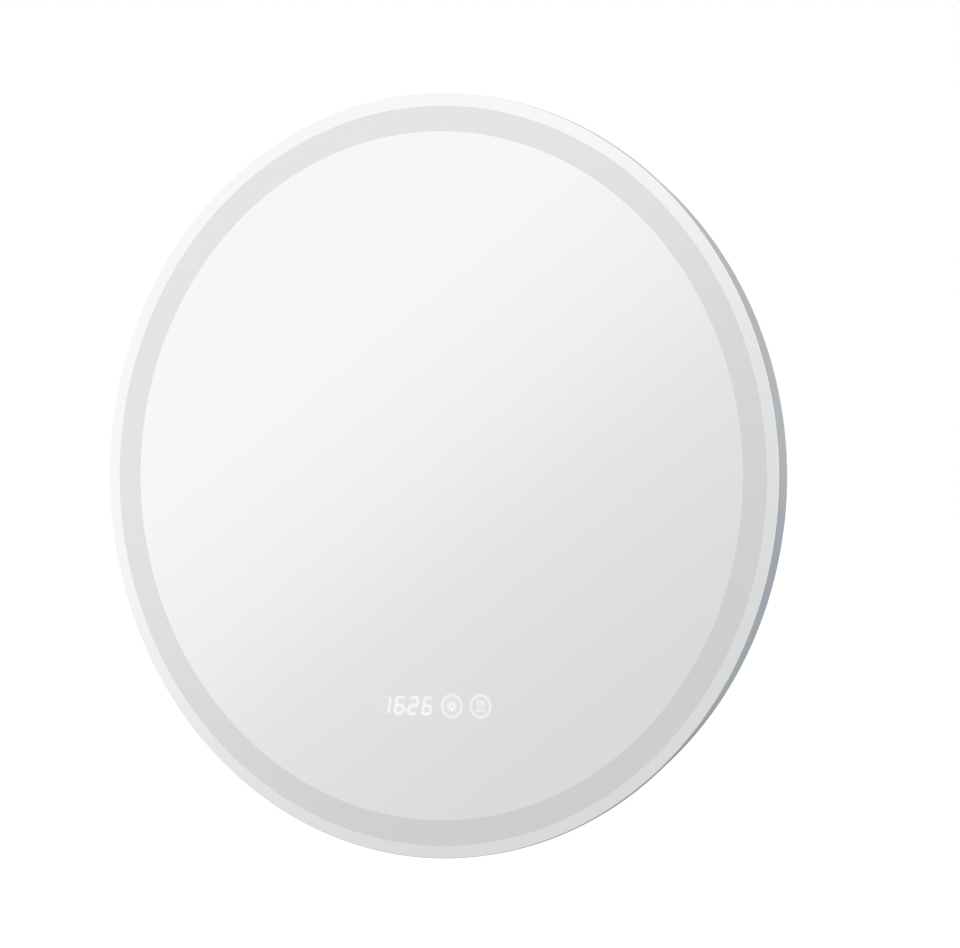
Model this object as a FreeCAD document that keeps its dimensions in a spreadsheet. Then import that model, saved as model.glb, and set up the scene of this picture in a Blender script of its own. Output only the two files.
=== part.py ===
import FreeCAD, Part
import math
import os
from types import SimpleNamespace

import Sketcher

# Round lighted bathroom mirror. Every piece is drawn as seen from in front of the hung mirror:
# x to the right, y up and z out of the wall, with z = 0 on the wall. Each piece is then stood
# upright, so that the finished part has +Z up, its mirror faces -Y and the wall lies at Y = 0.

document = FreeCAD.newDocument("LightedMirror")
vector = FreeCAD.Vector
upright = FreeCAD.Placement(vector(0, 0, 0), FreeCAD.Rotation(vector(1, 0, 0), 90))
made = []

size_table = [
    ("mirrorDia", 600, "outside diameter of the glass"),
    ("totalDepth", 30, "wall to the front of the glass"),
    ("glassThick", 5, "float glass"),
    ("arris", 0.5, "ground edge, front and back"),
    ("clearMargin", 10, "mirror outside the lit band"),
    ("bandWidth", 20, "sandblasted band that the light comes through"),
    ("coatThick", 0.3, "silver with its backing paint"),
    ("tapeThick", 0.7, "foam tape between glass and frame"),
    ("tapeCount", 8, "lengths of foam tape"),
    ("tapeLong", 70, "length of foam tape"),
    ("tapeInset", 0.3, "tape set in from both edges of the lip"),
    ("frameInset", 7, "frame set in from the glass edge"),
    ("frameWall", 1.5, "wall of the frame profile"),
    ("lipReach", 4, "lip outside the frame wall that carries the glass"),
    ("lipThick", 1.6, "lip"),
    ("flangeReach", 12, "rear flange inside the frame wall"),
    ("flangeThick", 1.5, "rear flange"),
    ("jointGap", 0.4, "butt joint of the rolled profile, at the bottom"),
    ("stripWidth", 8, "light strip"),
    ("stripThick", 0.3, "light strip"),
    ("stripLevel", 7, "wall to the light strip"),
    ("stripEndGap", 66, "stretch at the bottom without strip"),
    ("chipLength", 3.5, "light chip along the strip"),
    ("chipWidth", 2.8, "light chip across the strip"),
    ("chipHeight", 0.8, "light chip off the strip"),
    ("chipCount", 60, "light chips in a full turn"),
    ("joinerLength", 36, "plate behind the butt joint"),
    ("joinerThick", 1.2, "plate behind the butt joint"),
    ("holeSlack", 0.05, "shank to the wall of its own hole"),
    ("coverRecess", 2.8, "wall to the back cover"),
    ("coverThick", 1.2, "sheet steel"),
    ("ribSide", 200, "pressed stiffening ribs, sideways from the middle"),
    ("ribLong", 220, "pressed stiffening rib"),
    ("ribWide", 9, "pressed stiffening rib"),
    ("ribDeep", 0.8, "pressed stiffening rib"),
    ("coverSlack", 0.6, "back cover to the frame wall"),
    ("screwInset", 8, "cover screws in from the outside of the frame wall"),
    ("screwCount", 6, "cover screws"),
    ("screwRadius", 1.5, "M3 shank"),
    ("screwHead", 2.8, "M3 pan head radius"),
    ("screwHeadHigh", 1.9, "M3 pan head"),
    ("screwLength", 7, "M3 shank"),
    ("screwPlay", 0.2, "M3 shank in a cover hole"),
    ("hangerSide", 140, "keyhole sideways from the middle"),
    ("hangerUp", 150, "keyhole entry above the middle"),
    ("hangerRise", 5, "middle of plate and cap above the keyhole entry"),
    ("hangerWidth", 36, "hanger plate"),
    ("hangerHigh", 64, "hanger plate"),
    ("hangerThick", 2, "hanger plate"),
    ("entryRadius", 5.5, "round entry of a keyhole"),
    ("slotWidth", 5.4, "narrow slot of a keyhole"),
    ("slotRise", 14, "entry centre to the top of the slot"),
    ("sheetPlay", 0.8, "cover opening round the hanger's keyhole"),
    ("capWidth", 28, "keyhole cap"),
    ("capHigh", 42, "keyhole cap"),
    ("capDepth", 8.5, "keyhole cap"),
    ("capWall", 1.5, "keyhole cap"),
    ("inletSide", 150, "cable inlet sideways from the middle"),
    ("inletUp", 40, "cable inlet above the middle"),
    ("inletHole", 5.5, "radius of the hole for the cable bush"),
    ("inletBore", 3.8, "bore radius of the cable bush"),
    ("bushLip", 2.2, "lip of the bush beyond its hole"),
    ("bushLipHigh", 1.7, "lip of the bush"),
    ("bushNeck", 5, "bush inside the cover"),
    ("seatSlack", 0.05, "soft or moulded piece to its seat"),
    ("ventCount", 3, "slots in each group"),
    ("ventLength", 36, "vent slot"),
    ("ventWidth", 3, "vent slot"),
    ("ventPitch", 8, "vent slot"),
    ("ventSide", 110, "vent group sideways from the middle"),
    ("ventUp", 110, "highest slot of a vent group below the middle"),
    ("driverSide", -35, "driver centre sideways"),
    ("driverTape", 1, "foam tape under the driver"),
    ("driverTapeLong", 134, "foam tape under the driver"),
    ("driverTapeWide", 26, "foam tape under the driver"),
    ("driverUp", 60, "driver centre above the middle"),
    ("driverLong", 168, "driver case"),
    ("driverWide", 42, "driver case"),
    ("driverHigh", 14, "driver case without its lid"),
    ("driverWall", 1.5, "driver case"),
    ("boardThick", 1.6, "circuit boards"),
    ("boardLift", 3, "driver board above the case floor"),
    ("terminalSide", 98, "terminal block sideways"),
    ("terminalLong", 20, "terminal block along its wires"),
    ("terminalPitch", 10, "terminal block, pole to pole"),
    ("terminalHigh", 13, "terminal block"),
    ("entryWide", 3, "wire entry of the terminal block, square"),
    ("leadWide", 3.6, "flat twin lead"),
    ("leadThick", 2, "flat twin lead"),
    ("tabSide", 66, "earth tab sideways"),
    ("tabWide", 6.3, "earth tab"),
    ("tabThick", 0.8, "earth tab"),
    ("tabHigh", 10, "earth tab"),
    ("tabFoot", 10, "earth tab"),
    ("sleeveLong", 9, "sleeve on the earth tab"),
    ("sleeveWall", 0.8, "sleeve on the earth tab"),
    ("rowUp", -180.5, "row of clock and keys, above the middle"),
    ("clockSide", -22.6, "middle of the clock sideways"),
    ("digitCount", 4, "digits of the clock"),
    ("digitPitch", 12.4, "digit to digit"),
    ("digitHigh", 14.4, "digit"),
    ("digitWide", 8.4, "digit"),
    ("digitLean", 2, "sideways lean of a digit from foot to head"),
    ("segmentWide", 1.4, "segment"),
    ("segmentGap", 0.5, "segment end to the next segment"),
    ("keySide", 18, "first key sideways"),
    ("keyPitch", 25.5, "key to key"),
    ("keyRing", 9.5, "outside radius of a key's ring"),
    ("keyLine", 1, "line of a key's ring"),
    ("unitLong", 120, "control unit"),
    ("unitWide", 36, "control unit"),
    ("unitHigh", 12, "control unit"),
    ("unitWall", 1.6, "control unit"),
    ("gasketThick", 0.7, "foam seal round the control unit"),
    ("gasketWide", 3, "foam seal round the control unit"),
    ("guideHigh", 5.5, "light guide"),
    ("guideLong", 104, "light guide"),
    ("guideWide", 24, "light guide"),
    ("foilThick", 0.1, "copper foil of a key"),
    ("padWide", 240, "demister pad"),
    ("padHigh", 200, "demister pad"),
    ("padUp", 30, "demister pad above the middle"),
    ("padThick", 0.3, "demister film"),
    ("trackThick", 0.1, "heating foil"),
    ("trackWide", 5, "heating foil"),
    ("trackRuns", 8, "heating foil, runs up and down"),
    ("sunRadius", 2.6, "light key, disc of its symbol"),
    ("steamHigh", 4, "demister key, strokes of its symbol"),
    ("steamPitch", 2.6, "demister key, strokes of its symbol"),
    ("steamUp", 2.2, "demister key, strokes above the middle"),
    ("barLong", 7.4, "demister key, bar of its symbol"),
    ("barHigh", 2.2, "demister key, bar of its symbol"),
    ("barDown", 3.2, "demister key, bar below the middle"),
    ("unitSide", 3.5, "control unit sideways"),
    ("boardLedge", 2, "ledge that carries a board"),
    ("boardSlack", 0.5, "board to the walls round it, both sides"),
    ("boardDeep", 6.5, "front of the control unit to the back of its board"),
    ("foilWide", 24, "copper foil of a key"),
    ("chipSide", 10, "controller chip"),
    ("chipPlace", 24, "controller chip, from the middle of the unit"),
    ("plugWide", 6, "plug on the control board"),
    ("plugLong", 12, "plug on the control board"),
    ("plugHigh", 2.6, "plug on the control board"),
    ("plugPlace", 48, "plug on the control board, from the middle of the unit"),
    ("ledSide", 0.8, "display chip"),
    ("ledHigh", 0.5, "display chip"),
    ("connectorSide", 30, "heater connector sideways"),
    ("connectorLong", 20, "heater connector"),
    ("connectorWide", 12, "heater connector"),
    ("connectorHigh", 6, "heater connector"),
    ("clampInset", 3, "brass clamp in from the wire entries"),
    ("coreLong", 26, "transformer"),
    ("coreWide", 20, "transformer"),
    ("coreHigh", 7, "transformer"),
    ("windingBulge", 3, "winding beyond the core"),
    ("windingLong", 16, "winding"),
    ("canPlace", 50, "capacitor from the middle of the driver"),
    ("canLong", 14, "capacitor"),
    ("canRadius", 3.4, "capacitor"),
    ("leadLevel", 13.6, "wall to the middle of a long lead"),
    ("unitEntry", 1.6, "back of the control unit to the middle of its lead"),
    ("clipWall", 1.2, "saddle"),
    ("clipLong", 10, "saddle"),
    ("clipUp", -36, "saddles, above the middle"),
    ("stripLeadSide", -172, "long run of the strip's lead, sideways"),
    ("controlLeadSide", -159, "long run of the control unit's lead, sideways"),
]


class Size:
    """A length that carries the sheet's formula for it, so that a sketch can be tied to the sheet."""

    def __init__(self, value, formula):
        self.value = value
        self.formula = formula

    def join(self, other, sign, value):
        right = other.formula if isinstance(other, Size) else "%g" % other
        return Size(value, "(%s %s %s)" % (self.formula, sign, right))

    def __add__(self, other):
        return self.join(other, "+", self.value + number(other))

    def __sub__(self, other):
        return self.join(other, "-", self.value - number(other))

    def __mul__(self, other):
        return self.join(other, "*", self.value * number(other))

    def __truediv__(self, other):
        return self.join(other, "/", self.value / number(other))

    def __neg__(self):
        return self * -1


def number(item):
    return item.value if isinstance(item, Size) else item


def write_sheet():
    """Puts each driving size in a cell with its alias, and returns the sizes by name."""
    sheet = document.addObject("Spreadsheet::Sheet", "Sizes")
    for row, (name, value, note) in enumerate(size_table, 1):
        sheet.set("A%d" % row, note)
        sheet.set("B%d" % row, "%g" % value)
        sheet.setAlias("B%d" % row, name)
    document.recompute()
    return SimpleNamespace(**{name: Size(value, "Sizes." + name) for name, value, note in size_table})


size = write_sheet()
zero = Size(0, "0")

# Levels, from the wall outwards
cover_back = size.coverRecess
cover_front = cover_back + size.coverThick
flange_front = cover_front + size.flangeThick
glass_front = size.totalDepth
glass_back = glass_front - size.glassThick
coat_back = glass_back - size.coatThick
lip_front = coat_back - size.tapeThick
lip_back = lip_front - size.lipThick
strip_top = size.stripLevel + size.stripWidth
unit_front = coat_back - size.gasketThick
unit_back = unit_front - size.unitHigh
hanger_front = cover_front + size.hangerThick
cap_front = hanger_front + size.capDepth
driver_top = cover_front + size.driverTape + size.driverHigh

# Radii, from the edge inwards
glass_radius = size.mirrorDia / 2
coat_radius = glass_radius - size.arris
band_out = glass_radius - size.clearMargin
band_in = band_out - size.bandWidth
frame_out = glass_radius - size.frameInset
frame_in = frame_out - size.frameWall
lip_out = frame_out + size.lipReach
flange_in = frame_in - size.flangeReach
cover_radius = frame_in - size.coverSlack
screw_place = frame_out - size.screwInset
joiner_out = frame_in - size.seatSlack
strip_out = frame_in - size.seatSlack
strip_in = strip_out - size.stripThick
strip_middle = size.stripLevel + size.stripWidth / 2
driver_back = cover_front + size.driverTape

# Places
terminal_level = cover_front + size.terminalHigh / 2
earth_up = size.driverUp - size.terminalPitch
board_back = unit_front - size.boardDeep
guide_back = board_back + size.boardThick
pad_back = coat_back - size.padThick
track_back = pad_back - size.trackThick
connector_up = size.padUp - size.padHigh / 2 + size.trackWide + size.connectorWide / 2


# Drawing

def new_body(label):
    body = document.addObject("PartDesign::Body", label)
    body.Label = label
    body.Placement = upright
    made.append(body)
    return body


def origin_part(body, role):
    return [item for item in body.Origin.OriginFeatures if item.Role == role][0]


def draw(body, name, plane="XY_Plane", level=zero):
    """An empty sketch on one of the body's own planes, moved along that plane's normal."""
    sketch = body.newObject("Sketcher::SketchObject", body.Label + "_" + name)
    sketch.AttachmentSupport = [(origin_part(body, plane), "")]
    sketch.MapMode = "FlatFace"
    if level is not zero:
        sketch.setExpression("AttachmentOffset.Base.z", level.formula)
    return sketch


def hold(sketch, kind, items, length):
    """Fixes a distance and ties it to the sheet."""
    index = sketch.addConstraint(Sketcher.Constraint(kind, *items, number(length)))
    if isinstance(length, Size):
        sketch.setExpression("Constraints[%d]" % index, length.formula)


def hold_point(sketch, item, end, x, y):
    hold(sketch, "DistanceX", (-1, 1, item, end), x)
    hold(sketch, "DistanceY", (-1, 1, item, end), y)


def outline(sketch, corners):
    """Closed outline of straight edges through corners, each a pair of sizes."""
    first = sketch.GeometryCount
    places = [vector(number(x), number(y), 0) for x, y in corners]
    for start, end in zip(places, places[1:] + places[:1]):
        sketch.addGeometry(Part.LineSegment(start, end), False)
    for index, (x, y) in enumerate(corners):
        following = first + (index + 1) % len(corners)
        sketch.addConstraint(Sketcher.Constraint("Coincident", first + index, 2, following, 1))
        hold_point(sketch, first + index, 1, x, y)


def rectangle(sketch, x, y, wide, high):
    """Rectangle about its middle."""
    left = x - wide / 2
    right = x + wide / 2
    low = y - high / 2
    top = y + high / 2
    outline(sketch, [(left, low), (right, low), (right, top), (left, top)])


def circle(sketch, x, y, radius):
    item = sketch.addGeometry(Part.Circle(vector(number(x), number(y), 0), vector(0, 0, 1), number(radius)))
    hold_point(sketch, item, 3, x, y)
    hold(sketch, "Radius", (item,), radius)


def slot(sketch, start, end, radius):
    """Slot with round ends about two centres, each a pair of sizes, in line along x or y."""
    a = vector(number(start[0]), number(start[1]), 0)
    b = vector(number(end[0]), number(end[1]), 0)
    r = number(radius)
    turn = math.atan2(b.y - a.y, b.x - a.x)
    side = vector(-math.sin(turn), math.cos(turn), 0) * r
    normal = vector(0, 0, 1)
    quarter = math.pi / 2
    near_circle = Part.Circle(a, normal, r)
    near = sketch.addGeometry(Part.ArcOfCircle(near_circle, turn + quarter, turn + 3 * quarter))
    below = sketch.addGeometry(Part.LineSegment(a - side, b - side))
    far = sketch.addGeometry(Part.ArcOfCircle(Part.Circle(b, normal, r), turn - quarter, turn + quarter))
    above = sketch.addGeometry(Part.LineSegment(b + side, a + side))
    for first, second in ((near, below), (below, far), (far, above), (above, near)):
        sketch.addConstraint(Sketcher.Constraint("Tangent", first, 2, second, 1))
    sketch.addConstraint(Sketcher.Constraint("Equal", near, far))
    hold_point(sketch, near, 3, *start)
    hold_point(sketch, far, 3, *end)
    hold(sketch, "Radius", (near,), radius)


def feature(body, kind, sketch):
    item = body.newObject("PartDesign::" + kind, sketch.Label + "_" + kind.lower())
    item.Profile = sketch
    return item


def turn(body, sketch):
    """Turns the sketch once round its own upright axis."""
    item = feature(body, "Revolution", sketch)
    item.ReferenceAxis = (sketch, ["V_Axis"])
    item.Angle = 360
    return item


def turn_part(body, sketch, length, radius):
    """Turns the sketch to both sides of its plane, as far as a length along a radius."""
    item = turn(body, sketch)
    item.Midplane = True
    item.setExpression("Angle", (length / radius * math.degrees(1)).formula)
    return item


def raise_by(body, sketch, length):
    """Solid from the sketch outwards by a length."""
    item = feature(body, "Pad", sketch)
    item.setExpression("Length", length.formula)
    return item


def cut_through(body, sketch):
    """Cuts the sketch through everything, both ways."""
    item = feature(body, "Pocket", sketch)
    item.Type = "ThroughAll"
    item.Midplane = True
    return item


def cut_down(body, sketch, depth):
    """Cuts from the sketch towards the wall by a depth."""
    item = feature(body, "Pocket", sketch)
    item.setExpression("Length", depth.formula)
    return item


def repeat_round(body, items, count):
    pattern = body.newObject("PartDesign::PolarPattern", body.Label + "_round")
    pattern.Originals = items
    pattern.Axis = (origin_part(body, "Z_Axis"), [""])
    pattern.Angle = 360
    pattern.setExpression("Occurrences", count.formula)
    body.Tip = pattern
    return pattern


def repeat_along(body, items, role, pitch, count):
    pattern = body.newObject("PartDesign::LinearPattern", body.Label + "_row")
    pattern.Originals = items
    pattern.Direction = (origin_part(body, role), [""])
    pattern.setExpression("Length", (pitch * (count - 1)).formula)
    pattern.setExpression("Occurrences", count.formula)
    body.Tip = pattern
    return pattern


def ring(label, corners):
    """Body of revolution from corners given as radius and level."""
    body = new_body(label)
    sketch = draw(body, "profile", "XZ_Plane")
    outline(sketch, corners)
    turn(body, sketch)
    return body


def hoop(label, inside, outside, back, front):
    """Ring of rectangular section."""
    return ring(label, [(inside, back), (outside, back), (outside, front), (inside, front)])


def spindle(body, x, y, corners):
    """Turned piece about an axis out of the wall, from corners given as radius and level."""
    sketch = draw(body, "profile%d" % len(body.Group), "XZ_Plane", -y)
    sketch.setExpression("AttachmentOffset.Base.x", x.formula)
    outline(sketch, corners)
    return turn(body, sketch)


def block(label, x, y, wide, high, back, thick):
    """Body that starts as a plain block about a middle, from one level outwards."""
    body = new_body(label)
    sketch = draw(body, "outline", level=back)
    rectangle(sketch, x, y, wide, high)
    raise_by(body, sketch, thick)
    return body


# Glass, coating and tape

def make_glass():
    ring("mirror_glass", [
        (zero, glass_back),
        (coat_radius, glass_back),
        (glass_radius, glass_back + size.arris),
        (glass_radius, glass_front - size.arris),
        (coat_radius, glass_front),
        (zero, glass_front),
    ])


def digit_segments(sketch, middle, foot):
    """The seven segments of the first digit, leaning, as openings or as walls of light cells."""
    half = size.segmentWide / 2
    wide = size.digitWide - size.segmentWide
    high = size.digitHigh - size.segmentWide
    lean = size.digitLean / size.digitHigh
    inset = size.segmentGap + half

    def place(across, up):
        return middle - size.digitWide / 2 + half + across + lean * (up - high / 2), foot + half + up

    for up in (zero, high / 2, high):
        outline(sketch, [
            place(inset, up - half),
            place(wide - inset, up - half),
            place(wide - inset, up + half),
            place(inset, up + half),
        ])
    for across in (zero, wide):
        for low in (zero, high / 2):
            outline(sketch, [
                place(across - half, low + inset),
                place(across + half, low + inset),
                place(across + half, low + high / 2 - inset),
                place(across - half, low + high / 2 - inset),
            ])


def first_digit():
    """Middle and foot of the leftmost digit."""
    return size.clockSide - size.digitPitch * (size.digitCount - 1) / 2, size.rowUp - size.digitHigh / 2


def cut_digits(body, level, cut):
    """Cuts the digits' segments and the two dots of the colon."""
    middle, foot = first_digit()
    sketch = draw(body, "digit", level=level)
    digit_segments(sketch, middle, foot)
    opening = cut(body, sketch)
    repeat_along(body, [opening], "X_Axis", size.digitPitch, size.digitCount)
    dots = draw(body, "colon", level=level)
    for up in (size.digitHigh / -4, size.digitHigh / 4):
        rectangle(dots, size.clockSide, size.rowUp + up, size.segmentWide, size.segmentWide)
    cut(body, dots)


def make_coating():
    body = new_body("silver_field")
    disc = draw(body, "disc", level=coat_back)
    circle(disc, zero, zero, band_in)
    raise_by(body, disc, size.coatThick)
    cut_digits(body, zero, cut_through)
    keys = draw(body, "keys")
    for x in (size.keySide, size.keySide + size.keyPitch):
        circle(keys, x, size.rowUp, size.keyRing)
        circle(keys, x, size.rowUp, size.keyRing - size.keyLine)
    cut_through(body, keys)
    symbols = draw(body, "symbols")
    circle(symbols, size.keySide, size.rowUp, size.sunRadius)
    steam = size.keySide + size.keyPitch
    for step in (-1, 0, 1):
        wave = steam + size.steamPitch * step
        rectangle(symbols, wave, size.rowUp + size.steamUp, size.keyLine, size.steamHigh)
    rectangle(symbols, steam, size.rowUp - size.barDown, size.barLong, size.barHigh)
    cut_through(body, symbols)
    hoop("silver_margin", band_out, coat_radius, coat_back, glass_back)


def make_tape():
    """Lengths of foam tape round the lip, each turned from its section to both sides."""
    body = new_body("bonding_tape")
    sketch = draw(body, "section", "XZ_Plane")
    inside = frame_in + size.tapeInset
    outside = lip_out - size.tapeInset
    outline(sketch, [(inside, lip_front), (outside, lip_front), (outside, coat_back), (inside, coat_back)])
    tape = turn_part(body, sketch, size.tapeLong, frame_in)
    repeat_round(body, [tape], size.tapeCount)


# Frame

def cut_joint(body):
    """Parts the rolled profile at the bottom."""
    sketch = draw(body, "joint")
    rectangle(sketch, zero, -(glass_radius + flange_in) / 2, size.jointGap, size.flangeReach * 3)
    cut_through(body, sketch)


def cut_screw_holes(body, radius):
    sketch = draw(body, "screw_hole")
    circle(sketch, screw_place, zero, radius)
    opening = cut_through(body, sketch)
    repeat_round(body, [opening], size.screwCount)


def make_frame():
    body = ring("frame_ring", [
        (frame_in, zero),
        (frame_out, zero),
        (frame_out, lip_back),
        (lip_out, lip_back),
        (lip_out, lip_front),
        (frame_in, lip_front),
        (frame_in, flange_front),
        (flange_in, flange_front),
        (flange_in, cover_front),
        (frame_in, cover_front),
    ])
    cut_screw_holes(body, size.screwRadius + size.holeSlack)
    cut_joint(body)


def make_joiner():
    """Curved plate bonded behind the butt joint, turned from its section to both sides."""
    body = new_body("frame_joiner")
    sketch = draw(body, "section", "YZ_Plane")
    inside = joiner_out - size.joinerThick
    outline(sketch, [
        (-joiner_out, size.stripLevel),
        (-inside, size.stripLevel),
        (-inside, strip_top),
        (-joiner_out, strip_top),
    ])
    turn_part(body, sketch, size.joinerLength, frame_in)


# Light strip

def clear_strip_end(body):
    """Leaves the stretch at the bottom without strip."""
    sketch = draw(body, "strip_end")
    rectangle(sketch, zero, -(frame_out + flange_in) / 2, size.stripEndGap, size.flangeReach * 3)
    cut_through(body, sketch)


def make_strip():
    body = hoop("led_strip", strip_in, strip_out, size.stripLevel, strip_top)
    clear_strip_end(body)


def make_strip_chips():
    """Chips all round the inside of the strip, without those that the bottom joint takes up."""
    body = new_body("led_chips")
    sketch = draw(body, "chip", "YZ_Plane", strip_in - size.chipHeight - size.seatSlack)
    rectangle(sketch, zero, strip_middle, size.chipLength, size.chipWidth)
    chip = raise_by(body, sketch, size.chipHeight)
    repeat_round(body, [chip], size.chipCount)
    clear_strip_end(body)


# Back cover and how it hangs

def hanger_places():
    return (-size.hangerSide, size.hangerUp), (size.hangerSide, size.hangerUp)


def cut_keyholes(body, places, play):
    """Round entries and the narrow slots above them."""
    entry = draw(body, "entry")
    for x, y in places:
        circle(entry, x, y, size.entryRadius + play)
    cut_through(body, entry)
    narrow = draw(body, "slot")
    half = size.slotWidth / 2
    for x, y in places:
        slot(narrow, (x, y), (x, y + size.slotRise - half), half + play)
    cut_through(body, narrow)


def draw_ribs(body, name, level, inset):
    """Outlines of the two upright ribs."""
    sketch = draw(body, name, level=level)
    for x in (-size.ribSide, size.ribSide):
        rectangle(sketch, x, zero, size.ribWide - inset, size.ribLong - inset)
    return sketch


def make_cover():
    body = new_body("back_cover")
    disc = draw(body, "disc", level=cover_back)
    circle(disc, zero, zero, cover_radius)
    raise_by(body, disc, size.coverThick)
    ribs = draw_ribs(body, "ribs", cover_back - size.ribDeep, zero)
    raise_by(body, ribs, size.ribDeep)
    hollows = draw_ribs(body, "hollows", cover_front, size.coverThick * 2)
    cut_down(body, hollows, size.ribDeep)
    cut_screw_holes(body, size.screwRadius + size.screwPlay)
    cut_keyholes(body, hanger_places(), size.sheetPlay)
    inlet = draw(body, "inlet")
    circle(inlet, size.inletSide, size.inletUp, size.inletHole)
    cut_through(body, inlet)
    vents = draw(body, "vents")
    low = -size.ventUp - size.ventPitch * (size.ventCount - 1)
    for x in (-size.ventSide, size.ventSide):
        rectangle(vents, x, low, size.ventLength, size.ventWidth)
    opening = cut_through(body, vents)
    repeat_along(body, [opening], "Y_Axis", size.ventPitch, size.ventCount)


def make_cover_screws():
    body = new_body("cover_screws")
    features = []
    for name, level, radius, long in (
        ("head", cover_back - size.screwHeadHigh, size.screwHead, size.screwHeadHigh),
        ("shank", cover_back, size.screwRadius, size.screwLength),
    ):
        sketch = draw(body, name, level=level)
        circle(sketch, screw_place, zero, radius)
        features.append(raise_by(body, sketch, long))
    repeat_round(body, features, size.screwCount)


def make_hangers():
    """Steel plates behind the cover's keyholes, and the caps that close them towards the inside."""
    plates = new_body("hanger_plates")
    outer = draw(plates, "plates", level=cover_front)
    caps = new_body("keyhole_caps")
    feet = draw(caps, "feet", level=hanger_front)
    domes = draw(caps, "domes", level=hanger_front)
    insides = draw(caps, "insides", level=hanger_front)
    for x, y in hanger_places():
        middle = y + size.hangerRise
        rectangle(outer, x, middle, size.hangerWidth, size.hangerHigh)
        rectangle(feet, x, middle, size.capWidth, size.hangerHigh)
        rectangle(domes, x, middle, size.capWidth, size.capHigh)
        rectangle(insides, x, middle, size.capWidth - size.capWall * 2, size.capHigh - size.capWall * 2)
    raise_by(plates, outer, size.hangerThick)
    cut_keyholes(plates, hanger_places(), zero)
    raise_by(caps, feet, size.capWall)
    raise_by(caps, domes, size.capDepth)
    hollow = cut_down(caps, insides, size.capDepth - size.capWall)
    hollow.Reversed = True


def make_bush():
    """Bush that lines the hole for the mains cable, with its lip on the wall side."""
    body = new_body("cable_bush")
    neck = size.inletHole - size.seatSlack
    lip = size.inletHole + size.bushLip
    seat = cover_back - size.seatSlack
    spindle(body, size.inletSide, size.inletUp, [
        (size.inletBore, seat - size.bushLipHigh),
        (lip, seat - size.bushLipHigh),
        (lip, seat),
        (neck, seat),
        (neck, seat + size.bushNeck),
        (size.inletBore, seat + size.bushNeck),
    ])


# Mains side

def make_terminal_block():
    body = block("terminal_block", size.terminalSide, size.driverUp, size.terminalLong,
                 size.terminalPitch * 3, cover_front, size.terminalHigh)
    poles = [size.driverUp + size.terminalPitch * step for step in (-1, 0, 1)]
    side = size.terminalSide - size.terminalLong / 2
    wires = draw(body, "wires", "YZ_Plane", side)
    clamps = new_body("terminal_clamps")
    inside = draw(clamps, "clamp", "YZ_Plane", side + size.clampInset)
    for y in poles:
        rectangle(wires, y, terminal_level, size.entryWide, size.entryWide)
        clamp_wide = size.entryWide - size.seatSlack
        rectangle(inside, y, terminal_level, clamp_wide, clamp_wide)
    entries = cut_down(body, wires, size.terminalLong)
    entries.Reversed = True
    raise_by(clamps, inside, size.terminalLong - size.clampInset * 2)


def make_earth():
    """Blade welded to the cover, and the sleeve pushed onto it."""
    tab = block("earth_tab", size.tabSide, earth_up, size.tabFoot, size.tabWide, cover_front, size.tabThick)
    blade = draw(tab, "blade", level=cover_front)
    blade_side = size.tabSide - size.tabFoot / 2 + size.tabThick / 2
    rectangle(blade, blade_side, earth_up, size.tabThick, size.tabWide)
    raise_by(tab, blade, size.tabHigh)
    wide = size.tabThick + size.sleeveWall * 2
    high = size.tabWide + size.sleeveWall * 2
    level = cover_front + size.tabHigh - size.sleeveLong + size.sleeveWall
    sleeve = block("earth_sleeve", blade_side, earth_up, wide, high, level, size.sleeveLong)
    pocket = draw(sleeve, "pocket", level=level)
    play = size.seatSlack * 2
    rectangle(pocket, blade_side, earth_up, size.tabThick + play, size.tabWide + play)
    opening = cut_down(sleeve, pocket, size.sleeveLong - size.sleeveWall)
    opening.Reversed = True


# Driver

def make_driver():
    x, y = size.driverSide, size.driverUp
    floor = driver_back + size.driverWall
    block("driver_tape", x, y, size.driverTapeLong, size.driverTapeWide, cover_front, size.driverTape)
    case = block("driver_case", x, y, size.driverLong, size.driverWide, driver_back, size.driverHigh)
    room_long = size.driverLong - size.driverWall * 2
    room_wide = size.driverWide - size.driverWall * 2
    upper = draw(case, "upper", level=driver_top)
    rectangle(upper, x, y, room_long, room_wide)
    cut_down(case, upper, driver_top - floor - size.boardLift)
    lower = draw(case, "lower", level=driver_top)
    rectangle(lower, x, y, room_long - size.boardLedge * 2, room_wide - size.boardLedge * 2)
    cut_down(case, lower, driver_top - floor)

    lid = block("driver_lid", x, y, size.driverLong, size.driverWide, driver_top, size.driverWall)
    rim = draw(lid, "rim", level=driver_top - size.driverWall)
    rectangle(rim, x, y, room_long - size.boardSlack, room_wide - size.boardSlack)
    inner = size.driverWall * 2 + size.boardSlack
    rectangle(rim, x, y, room_long - inner, room_wide - inner)
    raise_by(lid, rim, size.driverWall)

    board_level = floor + size.boardLift
    block("driver_board", x, y, room_long - size.boardSlack, room_wide - size.boardSlack,
          board_level, size.boardThick)
    top = board_level + size.boardThick
    core = block("driver_transformer", x, y, size.coreLong, size.coreWide, top, size.coreHigh)
    winding = draw(core, "winding", level=top)
    rectangle(winding, x, y, size.windingLong, size.coreWide + size.windingBulge * 2)
    raise_by(core, winding, size.coreHigh - size.windingBulge / 2)
    can = new_body("driver_capacitor")
    sketch = draw(can, "end", "YZ_Plane", x + size.canPlace)
    circle(sketch, y, top + size.canRadius, size.canRadius)
    raise_by(can, sketch, size.canLong)


# Clock and keys

def key_places():
    return size.keySide, size.keySide + size.keyPitch


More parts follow.
